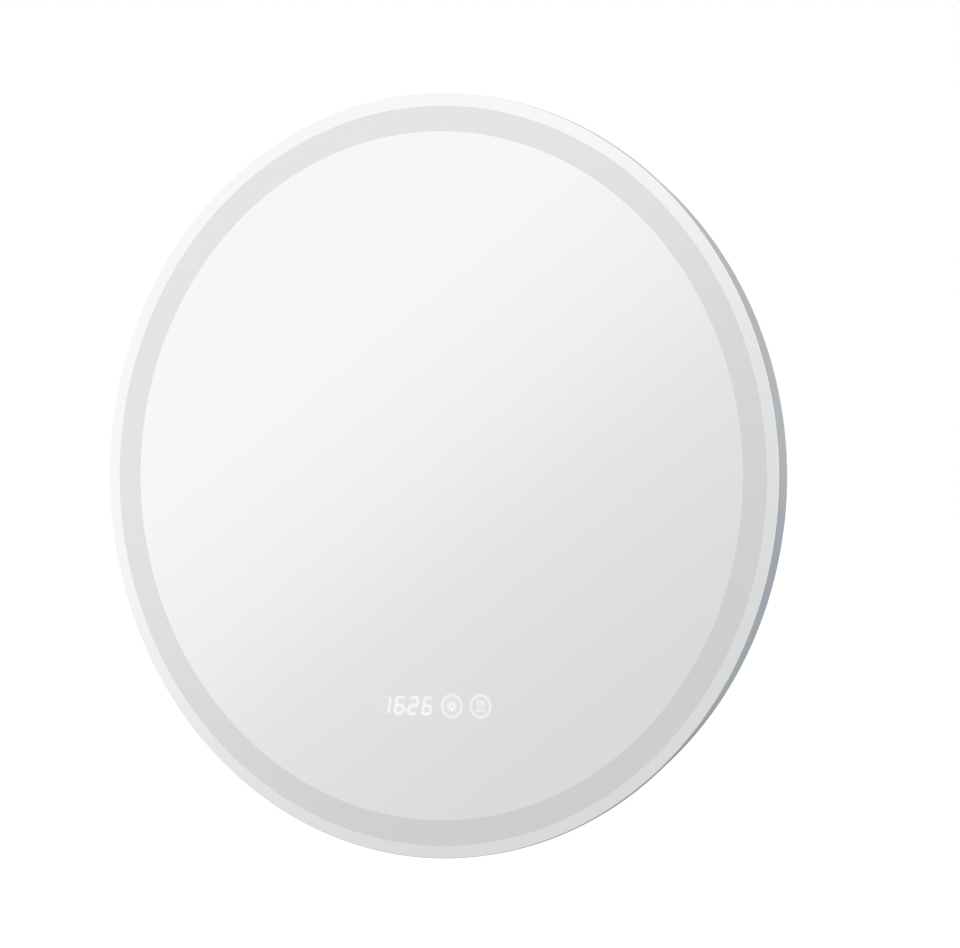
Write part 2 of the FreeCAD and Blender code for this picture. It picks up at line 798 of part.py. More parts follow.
def make_control_unit():
    x, y = size.unitSide, size.rowUp
    case = block("control_case", x, y, size.unitLong, size.unitWide, unit_back, size.unitHigh)
    room_long = size.unitLong - size.unitWall * 2
    room_wide = size.unitWide - size.unitWall * 2
    upper = draw(case, "upper", level=unit_front)
    rectangle(upper, x, y, room_long, room_wide)
    cut_down(case, upper, unit_front - board_back)
    lower = draw(case, "lower", level=unit_front)
    rectangle(lower, x, y, room_long - size.boardLedge * 2, room_wide - size.boardLedge * 2)
    cut_down(case, lower, size.unitHigh - size.unitWall)

    gasket = block("control_gasket", x, y, size.unitLong, size.unitWide, unit_front, size.gasketThick)
    window = draw(gasket, "window")
    rectangle(window, x, y, size.unitLong - size.gasketWide * 2, size.unitWide - size.gasketWide * 2)
    cut_through(gasket, window)

    block("control_board", x, y, room_long - size.boardSlack, room_wide - size.boardSlack,
          board_back, size.boardThick)
    guide = block("light_guide", x, y, size.guideLong, size.guideWide, guide_back, size.guideHigh)
    cut_digits(guide, zero, cut_through)
    wells = draw(guide, "key_wells")
    for key in key_places():
        rectangle(wells, key, y, size.keyRing * 2 + size.keyLine, size.keyRing * 2 + size.keyLine)
    cut_through(guide, wells)

    foils = new_body("touch_foils")
    sheet = draw(foils, "foil", level=guide_back + size.guideHigh)
    for key in key_places():
        rectangle(sheet, key, y, size.foilWide, size.foilWide)
        rectangle(sheet, key, y, size.keyRing * 2 + size.keyLine, size.keyRing * 2 + size.keyLine)
    raise_by(foils, sheet, size.foilThick)

    chip = block("control_chip", x - size.chipPlace, y, size.chipSide, size.chipSide,
                 board_back - size.boardThick, size.boardThick)
    plug = block("control_plugs", x - size.plugPlace, y, size.plugWide, size.plugLong,
                 board_back - size.plugHigh, size.plugHigh)
    second = draw(plug, "second", level=board_back - size.plugHigh)
    rectangle(second, x + size.plugPlace, y, size.plugWide, size.plugLong)
    raise_by(plug, second, size.plugHigh)


def make_display_leds():
    """One small chip at the middle of each segment, at each dot of the colon and in each key's well."""
    body = new_body("display_leds")
    middle, foot = first_digit()
    wide = size.digitWide - size.segmentWide
    high = size.digitHigh - size.segmentWide
    lean = size.digitLean / size.digitHigh
    left = middle - wide / 2
    bottom = foot + size.segmentWide / 2
    sketch = draw(body, "digit", level=guide_back)
    for across, up in ((0.5, 0), (0.5, 0.5), (0.5, 1), (0, 0.25), (0, 0.75), (1, 0.25), (1, 0.75)):
        rectangle(sketch, left + wide * across + lean * (high * (up - 0.5)), bottom + high * up,
                  size.ledSide, size.ledSide)
    chips = raise_by(body, sketch, size.ledHigh)
    repeat_along(body, [chips], "X_Axis", size.digitPitch, size.digitCount)
    others = draw(body, "others", level=guide_back)
    for up in (size.digitHigh / -4, size.digitHigh / 4):
        rectangle(others, size.clockSide, size.rowUp + up, size.ledSide, size.ledSide)
    for key in key_places():
        for side in (-1, 1):
            rectangle(others, key + size.keyRing / 2 * side, size.rowUp, size.ledSide * 2, size.ledSide * 2)
    raise_by(body, others, size.ledHigh)


# Demister

def make_demister():
    block("demister_pad", zero, size.padUp, size.padWide, size.padHigh, pad_back, size.padThick)
    body = new_body("heater_track")
    sketch = draw(body, "track", level=track_back)
    outline(sketch, track_corners())
    raise_by(body, sketch, size.trackThick)
    block("heater_connector", size.connectorSide, connector_up, size.connectorLong, size.connectorWide,
          track_back - size.connectorHigh, size.connectorHigh)


def track_corners():
    """Serpentine of upright runs: all its left hand side out, and its right hand side back."""
    wide = size.trackWide
    pairs = int(size.trackRuns.value) // 2
    pitch = (size.padWide - wide * 3) / (pairs * 2 - 1)
    left = -size.padWide / 2 + wide
    low = size.padUp - size.padHigh / 2 + wide
    top = size.padUp + size.padHigh / 2 - wide
    near = []
    far = []
    for pair in range(pairs):
        up_run = left + pitch * (pair * 2)
        down_run = up_run + pitch
        start = low if pair == 0 else low + wide
        end = low if pair == pairs - 1 else low + wide
        near += [(up_run, start), (up_run, top), (down_run + wide, top), (down_run + wide, end)]
        far += [(up_run + wide, low), (up_run + wide, top - wide), (down_run, top - wide), (down_run, low)]
    return near + far[::-1]


# Leads

def lead_shape(points, wide, thick):
    """Flat lead along straight runs joined by tangent arcs, each as large as its runs allow.

    Its first run is level, and there the lead's wide side lies parallel to the wall.
    """
    edges = []
    radii = []
    start = points[0]
    for before, corner, after in zip(points, points[1:], points[2:]):
        back = before - corner
        ahead = after - corner
        half = back.getAngle(ahead) / 2
        reach = 0.45 * min(back.Length, ahead.Length)
        back.normalize()
        ahead.normalize()
        bisector = back + ahead
        bisector.normalize()
        bend = reach * math.tan(half)
        middle = corner + bisector * (reach / math.cos(half) - bend)
        first = corner + back * reach
        last = corner + ahead * reach
        edges += [Part.LineSegment(start, first).toShape(), Part.Arc(first, middle, last).toShape()]
        radii.append(bend)
        start = last
    edges.append(Part.LineSegment(start, points[-1]).toShape())
    path = Part.Wire(edges)
    along = points[1] - points[0]
    along.normalize()
    across = vector(-along.y, along.x, 0) * (wide / 2)
    rise = vector(0, 0, thick / 2)
    corners = [points[0] + across * a + rise * b for a, b in ((1, 1), (-1, 1), (-1, -1), (1, -1))]
    section = Part.makePolygon(corners + corners[:1])
    solid = path.makePipeShell([section], True, False)
    expected = wide * thick * path.Length
    print("  bends %s mm, length %.0f mm, volume off by %.3f %%" % (
        ", ".join("%.0f" % bend for bend in radii), path.Length, 100 * (solid.Volume / expected - 1)))
    return solid


def make_lead(label, level, places):
    """Lead through places given as x and y, and a third number where one isn't at the lead's level."""
    print(label)
    item = document.addObject("Part::Feature", label)
    item.Label = label
    points = [vector(x, y, *(own or [level])) for x, y, *own in places]
    item.Shape = lead_shape(points, size.leadWide.value, size.leadThick.value)
    item.Placement = upright
    made.append(item)


def make_leads():
    driver_left = (size.driverSide - size.driverLong / 2).value
    driver_right = (size.driverSide + size.driverLong / 2).value
    driver_up = size.driverUp.value
    block_left = (size.terminalSide - size.terminalLong / 2).value
    entry = terminal_level.value
    make_lead("mains_lead", entry, [
        (block_left, driver_up + 5),
        (block_left - 13, driver_up + 5),
        (driver_right + 13, driver_up + 2),
        (driver_right, driver_up + 2),
    ])
    sleeve = (size.tabSide - size.tabFoot / 2 + size.tabThick + size.sleeveWall).value
    make_lead("earth_lead", entry, [
        (block_left, earth_up.value),
        (block_left - 6, earth_up.value),
        (sleeve + 8, earth_up.value - 1.5),
        (sleeve, earth_up.value - 1.5),
    ])
    strip = strip_in.value
    end_x = -size.stripEndGap.value / 2 - 2.4
    end_y = -math.sqrt(strip ** 2 - end_x ** 2)
    near = 1 - 14 / strip
    onto = 1 - 0.5 / strip
    side = size.stripLeadSide.value
    level = size.leadLevel.value
    make_lead("strip_lead", level, [
        (driver_left, driver_up + 6),
        (driver_left - 26, driver_up + 6),
        (side + 2, 44),
        (side, -8),
        (side, -66),
        (-160, -126),
        (-128, -180),
        (-86, -222),
        (-52, -250),
        (end_x * near, end_y * near),
        (end_x * onto, end_y * onto),
    ])
    side = size.controlLeadSide.value
    unit_left = (size.unitSide - size.unitLong / 2).value
    unit_right = (size.unitSide + size.unitLong / 2).value
    row = size.rowUp.value
    entry = (unit_back + size.unitEntry).value
    climb = entry - level
    make_lead("control_lead", level, [
        (driver_left, driver_up - 6),
        (driver_left - 16, driver_up - 6),
        (side + 4, 34),
        (side, -10),
        (side, -62),
        (-148, -116, level + climb / 3),
        (-122, -158, level + climb * 2 / 3),
        (unit_left - 26, row, entry),
        (unit_left, row, entry),
    ])
    connector = size.connectorSide.value
    plug_up = (connector_up - size.connectorWide / 2).value
    make_lead("demister_lead", (track_back - size.connectorHigh / 2).value, [
        (unit_right, row),
        (unit_right + 18, row),
        (unit_right + 33, row + 28),
        (unit_right + 29, row + 64),
        (unit_right, row + 88),
        (connector, plug_up - 22),
        (connector, plug_up),
    ])


def make_clips():
    """Saddles that hold the two long leads off the cover."""
    body = new_body("cable_clips")
    wide = size.leadWide + size.seatSlack * 2
    high = size.leadThick + size.seatSlack * 2
    top = size.leadLevel + high / 2 + size.clipWall
    saddles = draw(body, "saddles", level=cover_front)
    tunnels = draw(body, "tunnels", "XZ_Plane")
    for x in (size.stripLeadSide, size.controlLeadSide):
        rectangle(saddles, x, size.clipUp, wide + size.clipWall * 2, size.clipLong)
        rectangle(tunnels, x, size.leadLevel, wide, high)
    raise_by(body, saddles, top - cover_front)
    cut_through(body, tunnels)


# The whole mirror

make_glass()
make_coating()
make_tape()
make_frame()
make_joiner()
make_strip()
make_strip_chips()
make_cover()
make_cover_screws()
make_hangers()
make_bush()
make_terminal_block()
make_earth()
make_driver()
make_control_unit()
make_display_leds()
make_demister()
make_leads()
make_clips()
document.recompute()


def check():
    """Stops with a message if any object failed or any piece isn't sound."""
    for item in document.Objects:
        if "Invalid" in item.State or "Error" in item.State:
            raise RuntimeError("%s failed: %s" % (item.Label, item.State))
    for item in made:
        if item.Shape.isNull() or not item.Shape.isValid() or not item.Shape.Solids:
            raise RuntimeError("%s has no sound solid" % item.Label)


check()
os.makedirs("parts", exist_ok=True)
for item in made:
    item.Shape.exportStep("parts/%s.step" % item.Label)
    print("%-20s %3d solids %12.1f mm3" % (item.Label, len(item.Shape.Solids), item.Shape.Volume))
print("%d pieces" % len(made))
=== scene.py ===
import math

import bmesh
import bpy
import numpy
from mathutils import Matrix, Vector
from mathutils.geometry import delaunay_2d_cdt


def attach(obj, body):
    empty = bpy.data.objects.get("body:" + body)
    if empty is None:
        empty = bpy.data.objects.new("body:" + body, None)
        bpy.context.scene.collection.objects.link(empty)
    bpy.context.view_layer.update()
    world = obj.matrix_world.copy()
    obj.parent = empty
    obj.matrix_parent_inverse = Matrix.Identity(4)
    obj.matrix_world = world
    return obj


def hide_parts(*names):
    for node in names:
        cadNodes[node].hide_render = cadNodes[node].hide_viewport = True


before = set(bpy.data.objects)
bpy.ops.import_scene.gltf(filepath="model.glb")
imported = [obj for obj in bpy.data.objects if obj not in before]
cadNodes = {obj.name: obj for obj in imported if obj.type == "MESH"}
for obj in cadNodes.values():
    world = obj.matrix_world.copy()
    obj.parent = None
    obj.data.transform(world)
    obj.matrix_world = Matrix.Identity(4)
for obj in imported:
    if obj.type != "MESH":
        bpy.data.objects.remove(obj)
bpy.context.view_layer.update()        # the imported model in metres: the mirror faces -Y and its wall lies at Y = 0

mm = 0.001
print("frame loaded,", len(cadNodes), "pieces")


# Colours, nodes and meshes

def toLinear(hexCode):
    shares = [int(hexCode[i:i + 2], 16) / 255 for i in (0, 2, 4)]
    return [s / 12.92 if s <= 0.04045 else ((s + 0.055) / 1.055) ** 2.4 for s in shares] + [1]


def addNode(tree, kind, settings={}, links={}):
    node = tree.nodes.new(kind)
    for key, value in settings.items():
        if isinstance(key, str) and hasattr(node, key):
            setattr(node, key, value)
        else:
            node.inputs[key].default_value = value
    for key, source in links.items():
        tree.links.new(source, node.inputs[key])
    return node


def newMaterial(name, hexCode, roughness, metallic=0, **sockets):
    material = bpy.data.materials.new(name)
    material.use_nodes = True
    tree = material.node_tree
    shader = tree.nodes["Principled BSDF"]
    shader.inputs["Base Color"].default_value = toLinear(hexCode)
    shader.inputs["Roughness"].default_value = roughness
    shader.inputs["Metallic"].default_value = metallic
    for socket, value in sockets.items():
        shader.inputs[socket.replace("_", " ")].default_value = value
    place = addNode(tree, "ShaderNodeTexCoord").outputs["Object"]
    return material, tree, shader, place


def blendColours(tree, factor, *stops):
    # colour that follows factor through stops, each a (position, hex code)
    ramp = addNode(tree, "ShaderNodeValToRGB", links={"Fac": factor})
    elements = ramp.color_ramp.elements
    for element, (position, hexCode) in zip(elements, (stops[0], stops[-1])):
        element.position = position
        element.color = toLinear(hexCode)
    for position, hexCode in stops[1:-1]:
        elements.new(position).color = toLinear(hexCode)
    return ramp.outputs["Color"]


def tintBase(tree, shader, factor, first, second):
    # base colour that wanders between two near tones
    tree.links.new(blendColours(tree, factor, (0, first), (1, second)), shader.inputs["Base Color"])


def addGrain(tree, shader, place, grainMm, depthMm, strength=1.0, stretch=(1, 1, 1), detail=3):
    # moulded, sprayed, rolled or blasted surface: noise whose grain is grainMm across
    mapped = addNode(tree, "ShaderNodeMapping", {"Scale": stretch}, {"Vector": place})
    noise = addNode(tree, "ShaderNodeTexNoise", {"Scale": 1 / (grainMm * mm), "Detail": detail},
                    {"Vector": mapped.outputs["Vector"]})
    bump = addNode(tree, "ShaderNodeBump", {"Strength": strength, "Distance": depthMm * mm},
                   {"Height": noise.outputs["Fac"]})
    tree.links.new(bump.outputs["Normal"], shader.inputs["Normal"])
    return noise.outputs["Fac"]


def varyRoughness(tree, shader, factor, low, high):
    spread = addNode(tree, "ShaderNodeMapRange", {"To Min": low, "To Max": high}, {"Value": factor})
    tree.links.new(spread.outputs["Result"], shader.inputs["Roughness"])


def newObject(name, data):
    made = bpy.data.objects.new(name, data)
    bpy.context.scene.collection.objects.link(made)
    return made


def addPiece(name, mesh, nodeName):
    piece = newObject(name, mesh)
    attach(piece, "root")
    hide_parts(nodeName)


def smoothByAngle(mesh, degrees=32):
    mesh.shade_smooth()
    mesh.set_sharp_from_angle(angle=math.radians(degrees))


def meshFrom(name, verts, faces, materials=(), slots=None):
    mesh = bpy.data.meshes.new(name)
    mesh.from_pydata(verts, [], faces)
    for material in materials:
        mesh.materials.append(material)
    if slots:
        mesh.polygons.foreach_set("material_index", slots)
    mesh.update()
    return mesh


def tidyMesh(mesh, mergeWithin=0):
    # points nearer than so many metres merged, faces turned outwards
    draft = bmesh.new()
    draft.from_mesh(mesh)
    if mergeWithin:
        bmesh.ops.remove_doubles(draft, verts=draft.verts, dist=mergeWithin)
    bmesh.ops.recalc_face_normals(draft, faces=draft.faces)
    draft.to_mesh(mesh)
    draft.free()


def evaluatedMesh(carrier):
    # plain mesh of what an object's modifiers or its spline come to
    bpy.context.view_layer.update()
    return bpy.data.meshes.new_from_object(carrier.evaluated_get(bpy.context.evaluated_depsgraph_get()))


def bridgeRings(near, far):
    # quads between two rings of as many points
    count = len(near)
    return [(near[k], near[(k + 1) % count], far[(k + 1) % count], far[k]) for k in range(count)]


def skinRings(count, size, closed):
    # faces over a row of rings of size points each, joined end to end or capped
    rings = [range(i * size, (i + 1) * size) for i in range(count)]
    faces = []
    for near, far in zip(rings, rings[1:]):
        faces += bridgeRings(near, far)
    if closed:
        return faces + bridgeRings(rings[-1], rings[0])
    return faces + [tuple(rings[0]), tuple(rings[-1])[::-1]]


def circleLoop(x, z, radius, count):
    return [(x + radius * math.cos(math.tau * i / count), z + radius * math.sin(math.tau * i / count))
            for i in range(count)]


def roundProfile(corners, steps=3):
    # corners are (radius, level, fillet); each fillet becomes an arc of a few points
    rounded = []
    for i, (r, level, fillet) in enumerate(corners):
        here = Vector((r, level))
        if not fillet:
            rounded.append((r, level))
            continue
        before = (Vector(corners[i - 1][:2]) - here).normalized()
        after = (Vector(corners[(i + 1) % len(corners)][:2]) - here).normalized()
        half = before.angle(after) / 2
        reach = fillet / math.tan(half)
        centre = here + (before + after).normalized() * (fillet / math.sin(half))
        start = here + before * reach - centre
        turn = start.angle_signed(here + after * reach - centre)
        for step in range(steps + 1):
            angle = turn * step / steps
            spun = Vector((start.x * math.cos(angle) + start.y * math.sin(angle),
                           start.y * math.cos(angle) - start.x * math.sin(angle)))
            rounded.append(tuple(centre + spun))
    return rounded


def turnedMesh(name, profile, segments, centre=(0, 0), startDegrees=0, sweepDegrees=360):
    # closed profile of (radius, level) in mm turned about an axis out of the wall
    closed = sweepDegrees == 360
    stations = segments if closed else segments + 1
    coords = []
    for i in range(stations):
        angle = math.radians(startDegrees + sweepDegrees * i / segments)
        coords += [((centre[0] + r * math.cos(angle)) * mm, -level * mm,
                    (centre[1] + r * math.sin(angle)) * mm) for r, level in profile]
    mesh = meshFrom(name, coords, skinRings(stations, len(profile), closed))
    tidyMesh(mesh, 0.0001 * mm)
    smoothByAngle(mesh)
    return mesh


# Camera at the photograph's place: about 29 degrees to the right of the mirror and level with its middle

photoView = {
    "lens": 188.9, "sensor": 36, "seesTo": 100,
    "x": 1.92060, "y": -3.48114, "z": 0.01702, "turn": 28.55, "down": 0.2255,
}

cameraData = bpy.data.cameras.new("photoCamera")
cameraData.lens = photoView["lens"]
cameraData.sensor_width = photoView["sensor"]
cameraData.clip_end = photoView["seesTo"]
camera = newObject("photoCamera", cameraData)
camera.location = (photoView["x"], photoView["y"], photoView["z"])
camera.rotation_euler = (math.radians(90 - photoView["down"]), 0, math.radians(photoView["turn"]))
bpy.context.scene.camera = camera
print("camera placed")


# Materials of the glass

def addSpill(tree, shader, glow, share):
    # light that leaks sideways in the glass round the lit windows, from the mesh's spill attribute
    shader.inputs["Emission Color"].default_value = toLinear("FAFBFF")
    spill = addNode(tree, "ShaderNodeAttribute", {"attribute_name": "spill"})
    strength = addNode(tree, "ShaderNodeMath", {"operation": "MULTIPLY_ADD", 1: share, 2: glow},
                       {0: spill.outputs["Fac"]})
    tree.links.new(strength.outputs[0], shader.inputs["Emission Strength"])


# Silvered float glass: wet silver under 5 mm of clear glass gives a bright, near neutral reflection,
# and the glass's own face adds a second, fainter one.
silveredGlass, tree, shader, place = newMaterial(
    "silveredFloatGlass", "F9F9F9", 0.0, 1, Coat_Weight=0.6, Coat_Roughness=0.0, Coat_IOR=1.52)
rollerWave = addNode(tree, "ShaderNodeTexNoise", {"Scale": 1 / (90 * mm), "Detail": 1}, {"Vector": place})
varyRoughness(tree, shader, rollerWave.outputs["Fac"], 0.004, 0.012)
addSpill(tree, shader, 0.0, 0.09)

# Sandblasted glass over bare float: grit leaves a fine satin that scatters the reflection.
sandblasted, tree, shader, place = newMaterial("sandblastedGlass", "E7E7E7", 0.16, 0.9)
grit = addGrain(tree, shader, place, 0.5, 0.02, 0.15)    # grit is finer than this, drawn as coarse as shows
varyRoughness(tree, shader, grit, 0.12, 0.2)

# Clear windows in the silver with a white light guide behind them. Where a chip shines into the guide the
# window glows cold white, brightest in the clock, and where none does a faint painted glow, standing for stray
# light in the guide, makes it a shade paler than the mirror. Each kind has its colour, its metallic share and its
# glow.
windowGlows = {
    "litDigit": ("E6E8EC", 0.1, 0.13), "litRing": ("E2E4E6", 0.1, 0.105),
    # the unlit windows' glow is painted glow: no chip shines into them
    "unlitWindow": ("F0F0F2", 0.9, 0.07),
}


def makeWindow(name):
    hexCode, metallic, glow = windowGlows[name]
    material, tree, shader, place = newMaterial(
        name, hexCode, 0.25, metallic, Coat_Weight=1.0, Coat_Roughness=0.0, Coat_IOR=1.52)
    cell = addNode(tree, "ShaderNodeTexNoise", {"Scale": 1 / (3 * mm), "Detail": 1}, {"Vector": place})
    varyRoughness(tree, shader, cell.outputs["Fac"], 0.18, 0.28)
    addSpill(tree, shader, glow, 0.05)
    return material


litDigit, litRing, unlitWindow = [makeWindow(name) for name in windowGlows]

# Ground and polished edge of float glass: light lost along the sheet leaves a dull grey with iron's green
# in it.
groundEdge, tree, shader, place = newMaterial(
    "groundGlassEdge", "A8AEB0", 0.3, 0.9, Coat_Weight=0.3, Coat_Roughness=0.1, Coat_IOR=1.52)
wheelMarks = addNode(tree, "ShaderNodeTexNoise", {"Scale": 1 / (6 * mm), "Detail": 2}, {"Vector": place})
tintBase(tree, shader, wheelMarks.outputs["Fac"], "A2A9AB", "AEB4B6")

# Arris of the same glass, polished brighter: a thin, cool, pale line round the face.
polishedArris, tree, shader, place = newMaterial(
    "polishedGlassArris", "ECF3F4", 0.12, 0.8, Coat_Weight=1.0, Coat_Roughness=0.03, Coat_IOR=1.52)
wheelMarks = addNode(tree, "ShaderNodeTexNoise", {"Scale": 1 / (6 * mm), "Detail": 2}, {"Vector": place})
tintBase(tree, shader, wheelMarks.outputs["Fac"], "E8F0F2", "F0F6F6")

# Backing paint of a mirror: rolled grey lacquer, slightly glossy.
backingPaint, tree, shader, place = newMaterial("mirrorBackingPaint", "7F8784", 0.42)
roller = addGrain(tree, shader, place, 1.6, 0.02, 0.4)
tintBase(tree, shader, roller, "7A827F", "858D8A")
print("glass materials made")


# Mirror glass: one disc whose front is divided into silvered, blasted and clear areas, with sizes in mm
# and each clock digit's lit bars named by their letters

glassSizes = {
    "edgeRadius": 299.9, "faceRadius": 299.45, "front": 30, "back": 25, "arris": 0.45,
    "bandOuter": 290, "bandInner": 270, "segments": 360, "mergeWithin": 0.002,
}
clockSizes = {
    "middle": -22.9, "row": -180.5, "pitch": 12.4, "high": 14.4, "wide": 8.4, "lean": 2.0,
    "stroke": 1.7, "gap": 0.25, "lit": ("bc", "acdefg", "abdeg", "acdefg"),
    "dot": 0.8, "dotLeft": 0.4, "dotUp": 0.4, "dotSides": 20,
}
keySizes = {
    "first": 17.8, "pitch": 25.5, "row": -180.2, "steamLift": 0.45, "ring": 9.25, "line": 1.5,
    "ringSides": 72, "sunDisc": 2.6, "discSides": 32, "sunHole": 0.9, "holeSides": 20,
    "rays": 8, "rayFrom": 3.3, "rayTo": 4.5, "rayWide": 0.8,
    "waves": 3, "wavePitch": 2.5, "waveHigh": 4.0, "waveWide": 1.1, "waveSway": 0.35, "waveUp": 2.3,
    "waveSteps": 12, "barLong": 7.4, "barHigh": 1.8, "barDown": 3.1,
}
spillSizes = {
    "left": -52.0, "right": 60.0, "low": -196.0, "high": -165.0, "step": 0.7,
    "reach": 0.9, "most": 1.6, "holeEdge": 0.01,
}
glassFinishes = [
    silveredGlass, sandblasted, litDigit, litRing, unlitWindow, polishedArris, groundEdge, backingPaint,
]


def segmentLoops(middle, foot):
    # six-sided bars of a seven-segment digit that leans to the right
    s = clockSizes
    half = s["stroke"] / 2
    wide = s["wide"] - s["stroke"]
    high = s["high"] - s["stroke"]

    def place(across, up):
        return (middle - wide / 2 + across + s["lean"] * (up / high - 0.5), foot + half + up)

    def flat(up):
        a, b = s["gap"], wide - s["gap"]
        return [place(a, up), place(a + half, up - half), place(b - half, up - half), place(b, up),
                place(b - half, up + half), place(a + half, up + half)]

    def tall(across, low):
        a, b = low + s["gap"], low + high / 2 - s["gap"]
        return [place(across, a), place(across + half, a + half), place(across + half, b - half),
                place(across, b), place(across - half, b - half), place(across - half, a + half)]

    return {"d": flat(0), "g": flat(high / 2), "a": flat(high), "e": tall(0, 0), "f": tall(0, high / 2),
            "c": tall(wide, 0), "b": tall(wide, high / 2)}


def ribbonLoop(points, width):
    # outline of a stroke of even width along points
    left, right = [], []
    for i, point in enumerate(points):
        ahead = Vector(points[min(i + 1, len(points) - 1)]) - Vector(points[max(i - 1, 0)])
        side = Vector((-ahead.y, ahead.x)).normalized() * (width / 2)
        left.append(tuple(Vector(point) + side))
        right.append(tuple(Vector(point) - side))
    return right + left[::-1]


def keyCentres():
    k = keySizes
    return [(k["first"], k["row"]), (k["first"] + k["pitch"], k["row"] + k["steamLift"])]


def frontRegions():
    # outlines from the widest to the smallest, each with its finish; a later one lies on the earlier
    g, c, k = glassSizes, clockSizes, keySizes
    regions = []
    rounds = {"faceRadius": silveredGlass, "bandOuter": sandblasted, "bandInner": silveredGlass}
    for radius, finish in rounds.items():
        regions.append((circleLoop(0, 0, g[radius], g["segments"]), finish))
    for index, shown in enumerate(c["lit"]):
        middle = c["middle"] + c["pitch"] * (index - (len(c["lit"]) - 1) / 2)
        for name, loop in segmentLoops(middle, c["row"] - c["high"] / 2).items():
            regions.append((loop, litDigit if name in shown else unlitWindow))
    dotPlace = (c["middle"] - c["dotLeft"], c["row"] - c["high"] / 4 + c["dotUp"])
    regions.append((circleLoop(*dotPlace, c["dot"], c["dotSides"]), litDigit))
    sun, steam = keyCentres()
    for centre in (sun, steam):
        regions.append((circleLoop(*centre, k["ring"], k["ringSides"]), litRing))
        regions.append((circleLoop(*centre, k["ring"] - k["line"], k["ringSides"]), silveredGlass))
    regions.append((circleLoop(*sun, k["sunDisc"], k["discSides"]), litDigit))
    regions.append((circleLoop(*sun, k["sunHole"], k["holeSides"]), silveredGlass))
    for i in range(k["rays"]):
        way = Vector((math.cos(math.tau * i / k["rays"]), math.sin(math.tau * i / k["rays"])))
        ray = [Vector(sun) + way * k["rayFrom"], Vector(sun) + way * k["rayTo"]]
        regions.append((ribbonLoop(ray, k["rayWide"]), litRing))
    low = steam[1] + k["waveUp"] - k["waveHigh"] / 2
    steps = k["waveSteps"]
    for i in range(k["waves"]):
        x = steam[0] + k["wavePitch"] * (i - (k["waves"] - 1) / 2)
        wave = [(x + k["waveSway"] * math.sin(math.tau * step / steps), low + k["waveHigh"] * step / steps)
                for step in range(steps + 1)]
        regions.append((ribbonLoop(wave, k["waveWide"]), litRing))
    bar = [(steam[0] + side * k["barLong"] / 2, steam[1] - k["barDown"]) for side in (-1, 1)]
    regions.append((ribbonLoop(bar, k["barHigh"]), litRing))
    return regions


def distanceTo(places, loop):
    # from each place to an outline, nought inside it
    start = numpy.array(loop)
    run = numpy.roll(start, -1, 0) - start
    away = places[:, None] - start[None]
    along = numpy.clip((away * run).sum(2) / (run ** 2).sum(1), 0, 1)
    gap = numpy.linalg.norm(away - along[..., None] * run, axis=2).min(1)
    rises = (away[..., 1] >= 0) != (away[..., 1] >= run[:, 1])
    steep = numpy.where(run[:, 1] == 0, 1, run[:, 1])
    crossed = rises & (away[..., 0] < away[..., 1] * run[:, 0] / steep)
    return numpy.where(crossed.sum(1) % 2, 0, gap)


def spillAt(places, regions):
    # 1 at a lit window and less with distance, added up over the lit windows near a place
    k, reach = keySizes, spillSizes["reach"]
    total = numpy.zeros(len(places))
    for loop, finish in regions:
        if finish in (litDigit, litRing) and len(loop) < k["ringSides"]:
            total += numpy.exp(-(distanceTo(places, loop) / reach) ** 2)
    # the keys' rings, each worked out from its circle
    for x, z in keyCentres():
        away = numpy.abs(numpy.hypot(places[:, 0] - x, places[:, 1] - z) - k["ring"] + k["line"] / 2)
        total += numpy.exp(-(numpy.maximum(away - k["line"] / 2, 0) / reach) ** 2)
    fromSun = numpy.hypot(places[:, 0] - k["first"], places[:, 1] - k["row"])
    hole = fromSun < k["sunHole"] + spillSizes["holeEdge"]
    return numpy.where(hole, 0, numpy.minimum(total, spillSizes["most"]))


def meshFront(regions):
    # the front as triangles, each with the finish of the last outline that holds it
    points, loops = [], []
    for loop, _ in regions:
        loops.append(list(range(len(points), len(points) + len(loop))))
        points += [Vector(p) for p in loop]
    # a fine grid round the clock and the keys carries the spill
    g = spillSizes
    columns = int((g["right"] - g["left"]) / g["step"]) + 1
    rows = int((g["high"] - g["low"]) / g["step"]) + 1
    for j in range(rows):
        points += [Vector((g["left"] + g["step"] * i, g["low"] + g["step"] * j)) for i in range(columns)]
    # 1 keeps what lies inside the outlines, and points within 0.0001 mm count as one
    verts, _, faces, _, _, origins = delaunay_2d_cdt(points, [], loops, 1, 0.0001)
    return verts, [tuple(face) for face in faces], [regions[max(origin)][1] for origin in origins]


def makeMirrorGlass():
    g = glassSizes
    regions = frontRegions()
    verts, faces, finishes = meshFront(regions)
    coords = [(v.x * mm, -g["front"] * mm, v.y * mm) for v in verts]
    # ground and polished rim, then the back
    rim = [(g["faceRadius"], g["front"]), (g["edgeRadius"], g["front"] - g["arris"]),
           (g["edgeRadius"], g["back"] + g["arris"]), (g["faceRadius"], g["back"])]
    rings = []
    for radius, level in rim:
        rings.append(range(len(coords), len(coords) + g["segments"]))
        coords += [(x * mm, -level * mm, z * mm) for x, z in circleLoop(0, 0, radius, g["segments"])]
    for near, far, finish in zip(rings, rings[1:], (polishedArris, groundEdge, groundEdge)):
        faces += bridgeRings(far, near)
        finishes += [finish] * g["segments"]
    faces.append(tuple(rings[-1])[::-1])
    finishes.append(backingPaint)
    slots = [glassFinishes.index(finish) for finish in finishes]
    mesh = meshFrom("mirrorGlass", coords, faces, glassFinishes, slots)
    spill = numpy.zeros(len(coords))
    spill[:len(verts)] = spillAt(numpy.array([(v.x, v.y) for v in verts]), regions)
    mesh.attributes.new("spill", "FLOAT", "POINT").data.foreach_set("value", spill)
    tidyMesh(mesh, g["mergeWithin"] * mm)
    smoothByAngle(mesh, 25)
    addPiece("mirrorGlass", mesh, "mirror_glass")


makeMirrorGlass()
print("mirror glass made")


